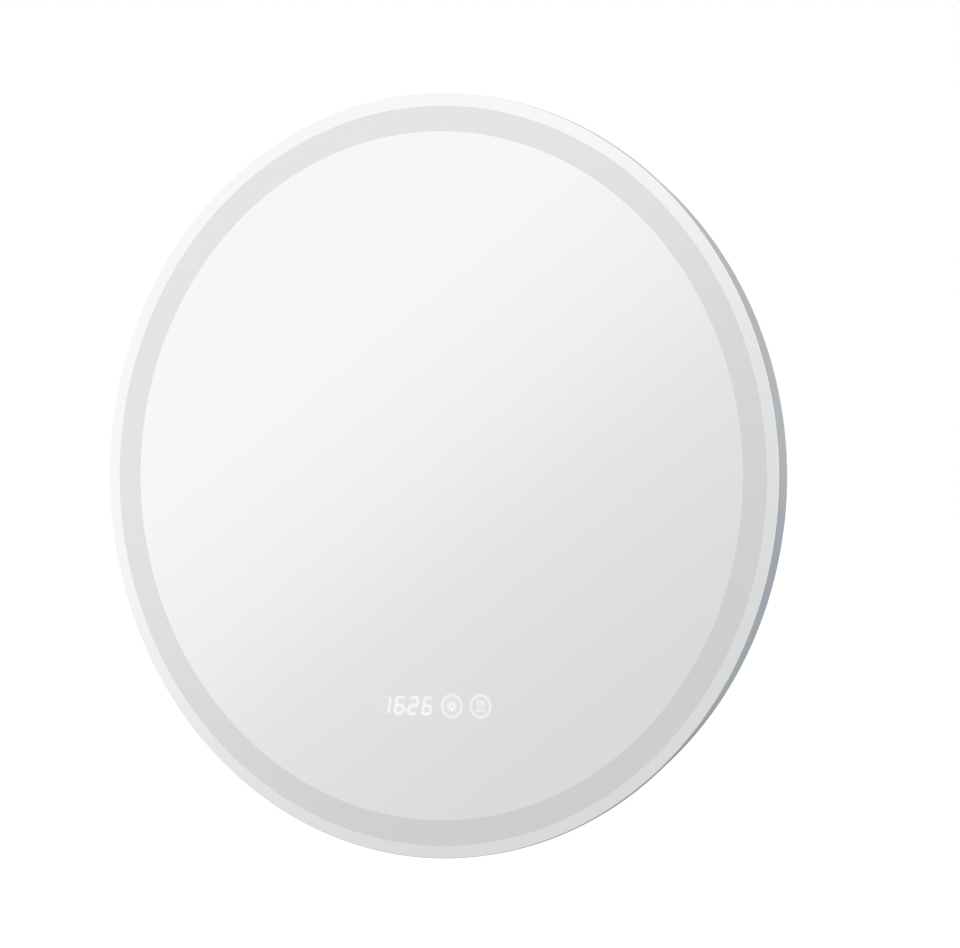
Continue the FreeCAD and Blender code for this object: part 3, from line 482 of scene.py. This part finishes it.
# Frame: rolled aluminium profile with a butt joint at the bottom

# Satin anodised aluminium: fine lines run round the rim from the rolling, under a grey-blue oxide.
anodised, tree, shader, place = newMaterial("satinAnodisedAluminium", "AEB2B8", 0.34, 1)
lines = addGrain(tree, shader, place, 0.8, 0.01, 0.3, (0.02, 1, 0.02), 2)
tintBase(tree, shader, lines, "A6ABB2", "B6BAC0")
varyRoughness(tree, shader, lines, 0.28, 0.4)

frameSizes = {
    "inside": 291.5, "outside": 293.0, "lip": 297.0, "lipBack": 22.4, "lipFront": 24.0,
    "flangeInside": 279.5, "flangeBack": 4.0, "flangeFront": 5.5, "rearFillet": 0.45, "lipFillet": 0.5,
    "fillet": 0.3, "jointGap": 0.4, "segments": 288,
}


def makeFrame():
    f = frameSizes
    corners = [
        ("inside", 0, "fillet"), ("outside", 0, "rearFillet"), ("outside", f["lipBack"], "fillet"),
        ("lip", f["lipBack"], "lipFillet"), ("lip", f["lipFront"], "lipFillet"),
        ("inside", f["lipFront"], "fillet"), ("inside", f["flangeFront"], "fillet"),
        ("flangeInside", f["flangeFront"], "fillet"), ("flangeInside", f["flangeBack"], "fillet"),
        ("inside", f["flangeBack"], "fillet"),
    ]
    profile = roundProfile([(f[radius], level, f[fillet]) for radius, level, fillet in corners])
    # the open joint is at the bottom
    gap = math.degrees(f["jointGap"] / f["outside"])
    mesh = turnedMesh("frameRing", profile, f["segments"], (0, 0), -90 + gap / 2, 360 - gap)
    mesh.materials.append(anodised)
    addPiece("frameRing", mesh, "frame_ring")


makeFrame()
print("frame made")


# Back cover, its screws and the bush

# Powder-coated steel sheet: fine orange-peel texture, satin, very light grey.
powderCoat, tree, shader, place = newMaterial("powderCoatedSteel", "CFD1D1", 0.5)
peel = addGrain(tree, shader, place, 1.1, 0.03, 0.5)
tintBase(tree, shader, peel, "CACCCC", "D4D6D6")
varyRoughness(tree, shader, peel, 0.44, 0.58)

# Bright zinc plate on steel: slightly blue, with faint cloudy spangle.
zincPlate, tree, shader, place = newMaterial("zincPlatedSteel", "B9BDC2", 0.3, 1)
cloud = addNode(tree, "ShaderNodeTexVoronoi", {"Scale": 1 / (5 * mm)}, {"Vector": place})
tintBase(tree, shader, cloud.outputs["Distance"], "B2B7BD", "C3C6CA")
varyRoughness(tree, shader, cloud.outputs["Distance"], 0.24, 0.38)

# Moulded rubber: near black, dull, with a fine moulded grain.
mouldedRubber, tree, shader, place = newMaterial("mouldedRubber", "1B1B1C", 0.62, 0, Specular_IOR_Level=0.35)
addGrain(tree, shader, place, 0.35, 0.02, 0.5)

screwSizes = {
    "count": 6, "ring": 285.0, "seat": 2.75, "head": 2.75, "headHigh": 1.85, "crown": 2.64,
    "crownFillet": 0.75, "fillet": 0.1, "shank": 1.45, "tip": 9.7, "pointLong": 0.8, "pointIn": 0.6,
    "recess": 1.55, "recessWide": 0.55, "recessDeep": 1.1, "recessAbove": 0.3, "recessTaper": 0.6,
    "arcSteps": 4, "segments": 32, "seed": 4,
}
bushSizes = {
    "x": 150.0, "z": 40.0, "bore": 3.8, "neck": 5.45, "lip": 7.7, "back": 1.06, "seat": 2.75, "end": 7.74,
    "fillets": (0.5, 0.8, 0.2, 0.2, 0.5, 0.4), "arcSteps": 4, "segments": 64,
}


def ringTree(name):
    # copies of the incoming mesh on a circle, each turned to follow it
    group = bpy.data.node_groups.new(name, "GeometryNodeTree")
    inputs = {
        "Geometry": "NodeSocketGeometry", "Count": "NodeSocketInt", "Radius": "NodeSocketFloat",
        "First angle": "NodeSocketFloat", "Sweep": "NodeSocketFloat", "Spin": "NodeSocketFloat",
        "Seed": "NodeSocketInt", "Finish": "NodeSocketMaterial", "Top finish": "NodeSocketMaterial",
    }
    for socket, kind in inputs.items():
        group.interface.new_socket(socket, in_out="INPUT", socket_type=kind)
    group.interface.new_socket("Geometry", in_out="OUTPUT", socket_type="NodeSocketGeometry")
    given = addNode(group, "NodeGroupInput").outputs
    number = addNode(group, "GeometryNodeInputIndex").outputs["Index"]
    share = addNode(group, "ShaderNodeMath", {"operation": "DIVIDE"}, {0: number, 1: given["Count"]})
    angle = addNode(group, "ShaderNodeMath", {"operation": "MULTIPLY_ADD"},
                    {0: share.outputs[0], 1: given["Sweep"], 2: given["First angle"]}).outputs[0]
    # places on the circle
    offsets = {}
    for axis, operation in (("X", "COSINE"), ("Z", "SINE")):
        unit = addNode(group, "ShaderNodeMath", {"operation": operation}, {0: angle})
        offsets[axis] = addNode(group, "ShaderNodeMath", {"operation": "MULTIPLY"},
                                {0: unit.outputs[0], 1: given["Radius"]}).outputs[0]
    spot = addNode(group, "ShaderNodeCombineXYZ", {}, offsets)
    points = addNode(group, "GeometryNodePoints", {}, {"Count": given["Count"], "Position": spot.outputs[0]})
    # each copy follows the circle and is turned by a random share of the spin
    follow = addNode(group, "ShaderNodeMath", {"operation": "MULTIPLY", 1: -1.0}, {0: angle})
    chance = addNode(group, "FunctionNodeRandomValue", {"data_type": "FLOAT"}, {"Seed": given["Seed"]})
    turn = addNode(group, "ShaderNodeMath", {"operation": "MULTIPLY_ADD"},
                   {0: chance.outputs[1], 1: given["Spin"], 2: follow.outputs[0]})
    facing = addNode(group, "ShaderNodeCombineXYZ", {}, {"Y": turn.outputs[0]})
    copies = addNode(group, "GeometryNodeInstanceOnPoints", {}, {
        "Points": points.outputs[0], "Instance": given["Geometry"], "Rotation": facing.outputs[0]})
    real = addNode(group, "GeometryNodeRealizeInstances", {}, {"Geometry": copies.outputs[0]})
    top = addNode(group, "GeometryNodeInputNamedAttribute", {"data_type": "BOOLEAN", "Name": "topFace"})
    finished = addNode(group, "GeometryNodeSetMaterial", {}, {
        "Geometry": real.outputs[0], "Material": given["Finish"]})
    topped = addNode(group, "GeometryNodeSetMaterial", {}, {
        "Geometry": finished.outputs[0], "Selection": top.outputs["Attribute"],
        "Material": given["Top finish"]})
    addNode(group, "NodeGroupOutput", {}, {0: topped.outputs[0]})
    return group


circleOfCopies = ringTree("circleOfCopies")


def bakeNodes(name, mesh, group, values):
    # runs a node group on a mesh and gives the result back as a plain mesh
    carrier = newObject(name + "Carrier", mesh)
    modifier = carrier.modifiers.new(name, "NODES")
    modifier.node_group = group
    sockets = {item.name: item.identifier for item in group.interface.items_tree
               if item.item_type == "SOCKET" and item.in_out == "INPUT"}
    for socket, value in values.items():
        modifier[sockets[socket]] = value
    result = evaluatedMesh(carrier)
    result.name = name
    carrier.modifiers.clear()
    bpy.data.objects.remove(carrier)
    return result


def cutMesh(name, mesh, cutters):
    # mesh less each cutter mesh
    body = newObject(name, mesh)
    helpers = []
    for i, cutter in enumerate(cutters):
        helpers.append(newObject(name + "Cutter%d" % i, cutter))
        cut = body.modifiers.new("cut%d" % i, "BOOLEAN")
        cut.operation = "DIFFERENCE"
        cut.solver = "EXACT"
        cut.object = helpers[i]
    result = evaluatedMesh(body)
    body.modifiers.clear()
    for helper in helpers + [body]:
        bpy.data.objects.remove(helper)
    return result


def bladeMesh(name, long, wide):
    # blade of a cross recess: widest above the head's top and narrower at its floor
    s = screwSizes
    top = s["seat"] - s["headHigh"]
    verts = []
    for level, share in ((top - s["recessAbove"], 1), (top + s["recessDeep"], s["recessTaper"])):
        for sx, sz in ((-1, -1), (1, -1), (1, 1), (-1, 1)):
            verts.append((sx * long * share * mm, -level * mm, sz * wide * share * mm))
    faces = [(0, 1, 2, 3), (7, 6, 5, 4), (0, 4, 5, 1), (1, 5, 6, 2), (2, 6, 7, 3), (3, 7, 4, 0)]
    mesh = meshFrom(name, verts, faces)
    tidyMesh(mesh)
    return mesh


def makeCoverScrews():
    s = screwSizes
    top = s["seat"] - s["headHigh"]
    profile = roundProfile([
        (0.0, top, 0), (s["crown"], top, s["crownFillet"]), (s["head"], s["seat"], s["fillet"]),
        (s["shank"], s["seat"], s["fillet"]), (s["shank"], s["tip"] - s["pointLong"], 0),
        (s["shank"] - s["pointIn"], s["tip"], 0), (0.0, s["tip"], 0),
    ], s["arcSteps"])
    screw = turnedMesh("coverScrew", profile, s["segments"])
    screw = cutMesh("coverScrewCut", screw, [
        bladeMesh("recessBlade", s["recess"], s["recessWide"]),
        bladeMesh("recessBladeAcross", s["recessWide"], s["recess"])])
    mesh = bakeNodes("coverScrews", screw, circleOfCopies, {
        "Count": s["count"], "Radius": s["ring"] * mm, "First angle": 0.0, "Sweep": math.tau, "Spin": math.pi,
        "Seed": s["seed"], "Finish": zincPlate, "Top finish": zincPlate})
    smoothByAngle(mesh, 30)
    addPiece("coverScrews", mesh, "cover_screws")


def makeBush():
    b = bushSizes
    corners = [(b["bore"], b["back"]), (b["lip"], b["back"]), (b["lip"], b["seat"]),
               (b["neck"], b["seat"]), (b["neck"], b["end"]), (b["bore"], b["end"])]
    rounded = [(*corner, fillet) for corner, fillet in zip(corners, b["fillets"])]
    profile = roundProfile(rounded, b["arcSteps"])
    mesh = turnedMesh("cableBush", profile, b["segments"], (b["x"], b["z"]))
    mesh.materials.append(mouldedRubber)
    addPiece("cableBush", mesh, "cable_bush")


makeCoverScrews()
makeBush()
print("screws and bush made")


# Light strip's chips

# White moulded package and the yellow resin over its chip.
chipPackage, tree, shader, place = newMaterial("lightChipPackage", "F0F0EC", 0.4)
addGrain(tree, shader, place, 0.4, 0.01, 0.3)
phosphorResin, tree, shader, place = newMaterial("phosphorResin", "E9D66B", 0.25, 0, Coat_Weight=0.6)
addGrain(tree, shader, place, 0.3, 0.01, 0.4)

chipSizes = {
    "count": 60, "radius": 290.75, "baseOut": 0.4, "long": 3.5, "wide": 2.8, "high": 0.75, "taper": 0.94,
    "lens": 1.05, "lensSides": 12, "level": 11.0, "stripEnd": 33.0, "seed": 1,
}


def chipMesh():
    # one chip with its base against the strip, its lens towards the middle
    c = chipSizes
    outline = [(-c["long"] / 2, -c["wide"] / 2), (c["long"] / 2, -c["wide"] / 2),
               (c["long"] / 2, c["wide"] / 2), (-c["long"] / 2, c["wide"] / 2)]
    lensLoop = circleLoop(0, 0, c["lens"], c["lensSides"])
    loops = ((0, 1, outline), (c["high"], c["taper"], outline), (c["high"], 1, lensLoop))
    mesh = bmesh.new()
    bottom, top, lens = [
        [mesh.verts.new((-high * mm, -(c["level"] + across * share) * mm, along * share * mm))
         for along, across in loop] for high, share, loop in loops]
    flag = mesh.faces.layers.bool.new("topFace")
    mesh.faces.new(bottom)
    for side in bridgeRings(bottom, top):
        mesh.faces.new(side)
    edges = []
    for ring in (top, lens):
        for i in range(len(ring)):
            pair = (ring[i], ring[(i + 1) % len(ring)])
            edges.append(mesh.edges.get(pair) or mesh.edges.new(pair))
    bmesh.ops.triangle_fill(mesh, use_beauty=True, use_dissolve=False, edges=edges)
    for face in mesh.faces:
        face[flag] = all(v in lens for v in face.verts)
    bmesh.ops.recalc_face_normals(mesh, faces=mesh.faces)
    data = bpy.data.meshes.new("lightChip")
    mesh.to_mesh(data)
    mesh.free()
    return data


def makeLightChips():
    c = chipSizes
    step = math.tau / c["count"]
    # the strip stops short of the frame's joint at the bottom, and so do the chips
    clear = math.asin((c["stripEnd"] + c["long"] / 2) / c["radius"])
    firstChip = math.ceil((clear + 1e-6) / step)
    count = c["count"] - 2 * firstChip + 1
    mesh = bakeNodes("lightChips", chipMesh(), circleOfCopies, {
        "Count": count, "Radius": (c["radius"] + c["baseOut"]) * mm,
        "First angle": firstChip * step - math.pi / 2, "Sweep": step * count, "Spin": 0.0,
        "Seed": c["seed"], "Finish": chipPackage, "Top finish": phosphorResin})
    addPiece("lightChips", mesh, "led_chips")


makeLightChips()
print("light chips made")


# Materials of the CAD nodes that keep their own shape

# Polyimide and polyester films of the light strip and the demister: thin, satin, slightly warm.
thinFilm, tree, shader, place = newMaterial("polyesterFilm", "E8E6DC", 0.35)
haze = addGrain(tree, shader, place, 2.0, 0.01, 0.3)
varyRoughness(tree, shader, haze, 0.28, 0.42)

# Closed-cell foam tape: matt, with open cells at its cut sides.
foamTape, tree, shader, place = newMaterial("closedCellFoam", "C9C8C3", 0.85)
cells = addNode(tree, "ShaderNodeTexVoronoi", {"Scale": 1 / (0.5 * mm)}, {"Vector": place})
bump = addNode(tree, "ShaderNodeBump", {"Strength": 0.6, "Distance": 0.1 * mm},
               {"Height": cells.outputs["Distance"]})
tree.links.new(bump.outputs["Normal"], shader.inputs["Normal"])

# Moulded ABS in white and in grey: fine spark-eroded grain.
whiteMoulding, tree, shader, place = newMaterial("whiteMouldedPlastic", "E6E6E2", 0.45)
addGrain(tree, shader, place, 0.5, 0.02, 0.4)
greyMoulding, tree, shader, place = newMaterial("greyMouldedPlastic", "4C4F51", 0.5)
addGrain(tree, shader, place, 0.5, 0.02, 0.5)

# Lacquered glass-fibre laminate with copper tracks under the lacquer.
boardLacquer, tree, shader, place = newMaterial("circuitBoard", "1F6B3A", 0.28, 0, Coat_Weight=0.4)
flatPlace = addNode(tree, "ShaderNodeMapping", {"Rotation": (math.radians(90), 0, 0)}, {"Vector": place})
tracks = addNode(tree, "ShaderNodeTexBrick", {
    "Scale": 1.0, "Mortar Size": 0.25 * mm, "Brick Width": 7 * mm, "Row Height": 2.2 * mm,
    "Color1": toLinear("1D6636"), "Color2": toLinear("236F3F"), "Mortar": toLinear("3D9159")},
    {"Vector": flatPlace.outputs["Vector"]})
tree.links.new(tracks.outputs["Color"], shader.inputs["Base Color"])

# Copper wire wound on a taped core: warm, banded by the turns.
windingTape, tree, shader, place = newMaterial("woundAndTaped", "B78F3C", 0.4)
turns = addNode(tree, "ShaderNodeTexWave", {"Scale": 1 / (3.2 * mm), "wave_type": "BANDS"}, {"Vector": place})
tintBase(tree, shader, turns.outputs["Fac"], "A5772B", "C9A454")

# Rolled foils: copper for the keys, a dull alloy for the heater.
copperFoil, tree, shader, place = newMaterial("copperFoil", "C98862", 0.3, 1)
rolled = addGrain(tree, shader, place, 0.8, 0.005, 0.4, (0.05, 1, 1))
varyRoughness(tree, shader, rolled, 0.22, 0.38)
heaterFoil, tree, shader, place = newMaterial("heaterFoil", "A9A9A6", 0.42, 1)
rolled = addGrain(tree, shader, place, 0.8, 0.005, 0.4, (1, 1, 0.05))
varyRoughness(tree, shader, rolled, 0.34, 0.5)

# Brass clamps and black chip resin.
turnedBrass, tree, shader, place = newMaterial("turnedBrass", "C9A85C", 0.3, 1)
turned = addGrain(tree, shader, place, 0.4, 0.01, 0.4, (0.1, 1, 1))
varyRoughness(tree, shader, turned, 0.24, 0.4)
chipResin, tree, shader, place = newMaterial("chipResin", "161617", 0.5)
addGrain(tree, shader, place, 0.3, 0.01, 0.5)

nodeFinishes = {
    "silver_field": backingPaint, "silver_margin": backingPaint, "bonding_tape": foamTape,
    "frame_joiner": anodised, "led_strip": thinFilm, "back_cover": powderCoat, "hanger_plates": zincPlate,
    "keyhole_caps": greyMoulding, "terminal_block": whiteMoulding, "terminal_clamps": turnedBrass,
    "earth_tab": zincPlate, "earth_sleeve": whiteMoulding, "driver_tape": foamTape,
    "driver_case": whiteMoulding, "driver_lid": whiteMoulding, "driver_board": boardLacquer,
    "driver_transformer": windingTape, "driver_capacitor": chipResin, "control_case": greyMoulding,
    "control_gasket": foamTape, "control_board": boardLacquer, "light_guide": whiteMoulding,
    "touch_foils": copperFoil, "control_chip": chipResin, "control_plugs": whiteMoulding,
    "display_leds": phosphorResin, "demister_pad": thinFilm, "heater_track": heaterFoil,
    "heater_connector": whiteMoulding, "cable_clips": whiteMoulding,
}
for nodeName, finish in nodeFinishes.items():
    mesh = cadNodes[nodeName].data
    mesh.materials.clear()
    mesh.materials.append(finish)
print("finishes given to", len(nodeFinishes), "pieces")


# Leads inside the housing: flat twin flex from one fitting to another

def makeSheath(name, hexCode):
    # extruded PVC flex: slightly waxy, drawn smooth along its run
    material, tree, shader, place = newMaterial(name, hexCode, 0.4)
    skin = addGrain(tree, shader, place, 1.5, 0.01, 0.4)
    varyRoughness(tree, shader, skin, 0.34, 0.48)
    return material


greySheath = makeSheath("greyFlex", "77797B")
greenSheath = makeSheath("greenFlex", "6E9C2C")

# each route: level above the wall, finish, and the points it bends round
leadRoutes = {
    "mains_lead": (10.5, greySheath, [(88, 65), (75, 65), (62, 62), (49, 62)]),
    "earth_lead": (10.5, greenSheath, [(88, 50), (82, 50), (70.6, 48.5), (62.6, 48.5)]),
    "strip_lead": (13.6, greySheath, [
        (-119, 66), (-145, 66), (-170, 44), (-172, -8), (-172, -66), (-160, -126), (-128, -180), (-86, -222),
        (-52, -250), (-33.7, -275.1), (-35.3, -288.5)]),
    "control_lead": (13.6, greySheath, [
        (-119, 54), (-135, 54), (-155, 34), (-159, -10), (-159, -62), (-148, -116), (-122, -158),
        (-82.5, -180.5), (-56.5, -180.5)]),
    "demister_lead": (21.3, greySheath, [
        (63.5, -180.5), (81.5, -180.5), (96.5, -152.5), (92.5, -116.5), (63.5, -92.5), (30, -87), (30, -65)]),
}
flexSizes = {"core": 1.0, "spread": 0.8, "arcSteps": 9, "routeSteps": 10}


def routeLine(name, level, points):
    # the points' own NURBS spline, read back as places along it
    curve = bpy.data.curves.new(name, "CURVE")
    curve.dimensions = "3D"
    curve.resolution_u = flexSizes["routeSteps"]
    spline = curve.splines.new("NURBS")
    spline.points.add(len(points) - 1)
    for point, (x, z) in zip(spline.points, points):
        point.co = (x * mm, -level * mm, z * mm, 1)
    spline.order_u = 3
    spline.use_endpoint_u = True
    carrier = newObject(name, curve)
    places = [v.co.copy() for v in evaluatedMesh(carrier).vertices]
    bpy.data.objects.remove(carrier)
    return places


def twinOutline():
    # two round cores side by side with a groove between them, as (across, out of the wall) in mm
    f = flexSizes
    groove = math.acos(f["spread"] / f["core"])
    outline = []
    for side in (1, -1):
        for i in range(f["arcSteps"]):
            angle = (math.pi - groove) * (2 * i / f["arcSteps"] - 1)
            outline.append((side * (f["spread"] + f["core"] * math.cos(angle)),
                            side * f["core"] * math.sin(angle)))
    return outline


def makeLeads():
    outline = twinOutline()
    for nodeName, (level, sheath, points) in leadRoutes.items():
        name = nodeName.split("_")[0] + "Flex"
        places = routeLine(name, level, points)
        coords = []
        for i, place in enumerate(places):
            ahead = (places[min(i + 1, len(places) - 1)] - places[max(i - 1, 0)]).normalized()
            across = Vector((-ahead.z, 0, ahead.x))
            coords += [place + (across * a + Vector((0, -out, 0))) * mm for a, out in outline]
        mesh = meshFrom(name, coords, skinRings(len(places), len(outline), False), [sheath])
        tidyMesh(mesh)
        smoothByAngle(mesh, 50)
        addPiece(name, mesh, nodeName)


makeLeads()
print("leads made")


# Floor, cards, light and background: sizes in metres

floorSizes = {
    "level": -1.0, "reach": 60.0, "lift": 0.46, "speckle": 0.025,
    "toneFrom": 1.5, "toneTo": 20.0, "tones": ((0, "DADADB"), (0.11, "F4F4F4"), (1, "FFFFFF")),
}
cardSizes = {
    "x": -0.963, "y": -1.75, "z": -0.0075, "scale": 1.4994, "glow": 1.063, "fade": 0.5, "reach": 0.98,
    "sides": 64, "tilt": 35, "span": 0.25,
    "tones": ((0.0, "D9D9DA"), (0.2, "DFDFDF"), (0.34, "E4E4E4"), (0.52, "EEEEEE"), (0.64, "F2F2F2"),
              (0.78, "F6F6F6")),
}
shadeSizes = {
    "near": -0.14, "far": 8.0, "left": -2.5, "right": 7.0, "level": -0.49,
    "toneX": 0.0, "toneY": 0.2, "toneFrom": 0.25, "toneTo": 0.6, "nearTone": "A6ABAD", "farTone": "E2E6E7",
}
lightSizes = {"lampPlace": (-1.2, -3.2, 2.6), "lampSize": 3.0, "lampPower": 62.0, "roomStrength": 0.72}


def stageFace(name, corners, material):
    # one flat face that isn't part of the object
    face = newObject(name, meshFrom(name, corners, [tuple(range(len(corners)))], [material]))
    return face


def showOnlyMirrored(card):
    card.visible_camera = False
    card.visible_diffuse = False
    card.visible_shadow = False


def makeFloor():
    # pale painted floor that shows white to the camera and still takes the object's shadow; metal and glass
    # see it with painted shade, a little greyer below the object than far off, so that the mirror stands out from
    # the white
    f = floorSizes
    material, tree, shader, place = newMaterial("paleFloor", "EDEDED", 0.9)
    speckle = addNode(tree, "ShaderNodeTexNoise", {"Scale": 1 / f["speckle"], "Detail": 2}, {"Vector": place})
    tintBase(tree, shader, speckle.outputs["Fac"], "EBEBEB", "EFEFEF")
    path = addNode(tree, "ShaderNodeLightPath")
    lift = addNode(tree, "ShaderNodeMath", {"operation": "MULTIPLY", 1: f["lift"]},
                   {0: path.outputs["Is Camera Ray"]})
    tree.links.new(lift.outputs[0], shader.inputs["Emission Strength"])
    shader.inputs["Emission Color"].default_value = toLinear("FFFFFF")
    mirrored = addNode(tree, "ShaderNodeMath", {"operation": "MAXIMUM"},
                       {0: path.outputs["Is Glossy Ray"], 1: path.outputs["Is Transmission Ray"]})
    # painted shade: the floor that metal and glass see is grey near the object and white far off
    away = addNode(tree, "ShaderNodeVectorMath", {"operation": "LENGTH"}, {0: place})
    spread = addNode(tree, "ShaderNodeMapRange", {"From Min": f["toneFrom"], "From Max": f["toneTo"]},
                     {"Value": away.outputs["Value"]})
    tone = blendColours(tree, spread.outputs["Result"], *f["tones"])
    even = addNode(tree, "ShaderNodeEmission", {"Strength": 1.0}, {"Color": tone})
    either = addNode(tree, "ShaderNodeMixShader", {},
                     {0: mirrored.outputs[0], 1: shader.outputs[0], 2: even.outputs[0]})
    tree.links.new(either.outputs[0], tree.nodes["Material Output"].inputs["Surface"])
    r, z = f["reach"], f["level"]
    stageFace("floor", [(-r, -r, z), (r, -r, z), (r, r, z), (-r, r, z)], material)


def makeReflectionCard():
    # card off to the left that the mirror shows: white at its upper left, grey at its lower right,
    # and clear round its edge, so that no other view shows where it ends
    c = cardSizes
    material = bpy.data.materials.new("reflectionCard")
    material.use_nodes = True
    tree = material.node_tree
    tree.nodes.clear()
    place = addNode(tree, "ShaderNodeTexCoord").outputs["Object"]
    centred = addNode(tree, "ShaderNodeMapping", {
        "vector_type": "POINT", "Location": (-c["x"] / c["scale"], 0, -c["z"] / c["scale"]),
        "Scale": (1 / c["scale"], 1, 1 / c["scale"])}, {"Vector": place})
    tilt = math.radians(c["tilt"])
    slope = addNode(tree, "ShaderNodeVectorMath", {
        "operation": "DOT_PRODUCT", 1: (-math.sin(tilt), 0, math.cos(tilt))}, {0: centred.outputs["Vector"]})
    spread = addNode(tree, "ShaderNodeMapRange", {"From Min": -c["span"], "From Max": c["span"]},
                     {"Value": slope.outputs["Value"]})
    tone = blendColours(tree, spread.outputs["Result"], *c["tones"])
    fromMiddle = addNode(tree, "ShaderNodeMapping", {
        "Location": (-c["x"], 0, -c["z"]), "Scale": (1, 0, 1)}, {"Vector": place})
    away = addNode(tree, "ShaderNodeVectorMath", {"operation": "LENGTH"}, {0: fromMiddle.outputs["Vector"]})
    fade = addNode(tree, "ShaderNodeMapRange", {
        "interpolation_type": "SMOOTHSTEP", "From Min": c["fade"], "From Max": c["reach"]},
        {"Value": away.outputs["Value"]})
    glow = addNode(tree, "ShaderNodeEmission", {"Strength": c["glow"]}, {"Color": tone})
    clear = addNode(tree, "ShaderNodeBsdfTransparent")
    thinned = addNode(tree, "ShaderNodeMixShader", {},
                      {0: fade.outputs["Result"], 1: glow.outputs[0], 2: clear.outputs[0]})
    addNode(tree, "ShaderNodeOutputMaterial", {}, {"Surface": thinned.outputs[0]})
    corners = [(x, c["y"], z) for x, z in circleLoop(c["x"], c["z"], c["reach"], c["sides"])]
    showOnlyMirrored(stageFace("reflectionCard", corners, material))


def makeShadeCard():
    # grey card low behind the mirror, seen only in metal and glass: it darkens the underside of the housing,
    # most where the card is near
    s = shadeSizes
    material, tree, shader, place = newMaterial(
        "shadeCard", "000000", 1.0, Specular_IOR_Level=0.0, Emission_Strength=1.0)
    centred = addNode(tree, "ShaderNodeMapping", {
        "Location": (-s["toneX"], -s["toneY"], 0), "Scale": (1, 1, 0)}, {"Vector": place})
    away = addNode(tree, "ShaderNodeVectorMath", {"operation": "LENGTH"}, {0: centred.outputs["Vector"]})
    spread = addNode(tree, "ShaderNodeMapRange", {"From Min": s["toneFrom"], "From Max": s["toneTo"]},
                     {"Value": away.outputs["Value"]})
    tone = blendColours(tree, spread.outputs["Result"], (0, s["nearTone"]), (1, s["farTone"]))
    tree.links.new(tone, shader.inputs["Emission Color"])
    left, right, near, far, z = [s[side] for side in ("left", "right", "near", "far", "level")]
    showOnlyMirrored(stageFace("shadeCard", [
        (left, near, z), (right, near, z), (right, far, z), (left, far, z)], material))


def makeLight():
    # one large soft lamp above the camera's left, and an even white room
    data = bpy.data.lights.new("softLamp", "AREA")
    data.shape = "SQUARE"
    data.size = lightSizes["lampSize"]
    data.energy = lightSizes["lampPower"]
    lamp = newObject("softLamp", data)
    lamp.location = lightSizes["lampPlace"]
    lamp.rotation_euler = (-lamp.location).to_track_quat("-Z", "Y").to_euler()
    lamp.visible_glossy = False
    world = bpy.data.worlds.new("whiteRoom")
    bpy.context.scene.world = world
    world.use_nodes = True
    tree = world.node_tree
    tree.nodes.clear()
    path = addNode(tree, "ShaderNodeLightPath")
    seen = path.outputs["Is Camera Ray"]
    for kind in ("Is Glossy Ray", "Is Transmission Ray"):
        seen = addNode(tree, "ShaderNodeMath", {"operation": "MAXIMUM"},
                       {0: seen, 1: path.outputs[kind]}).outputs[0]
    strength = addNode(tree, "ShaderNodeMapRange", {"To Min": lightSizes["roomStrength"], "To Max": 1.0},
                       {"Value": seen})
    room = addNode(tree, "ShaderNodeBackground", {"Color": (1, 1, 1, 1)},
                   {"Strength": strength.outputs["Result"]})
    addNode(tree, "ShaderNodeOutputWorld", {}, {"Surface": room.outputs[0]})


makeFloor()
makeReflectionCard()
makeShadeCard()
makeLight()
bpy.context.scene.view_settings.view_transform = "Standard"
print("stage made")
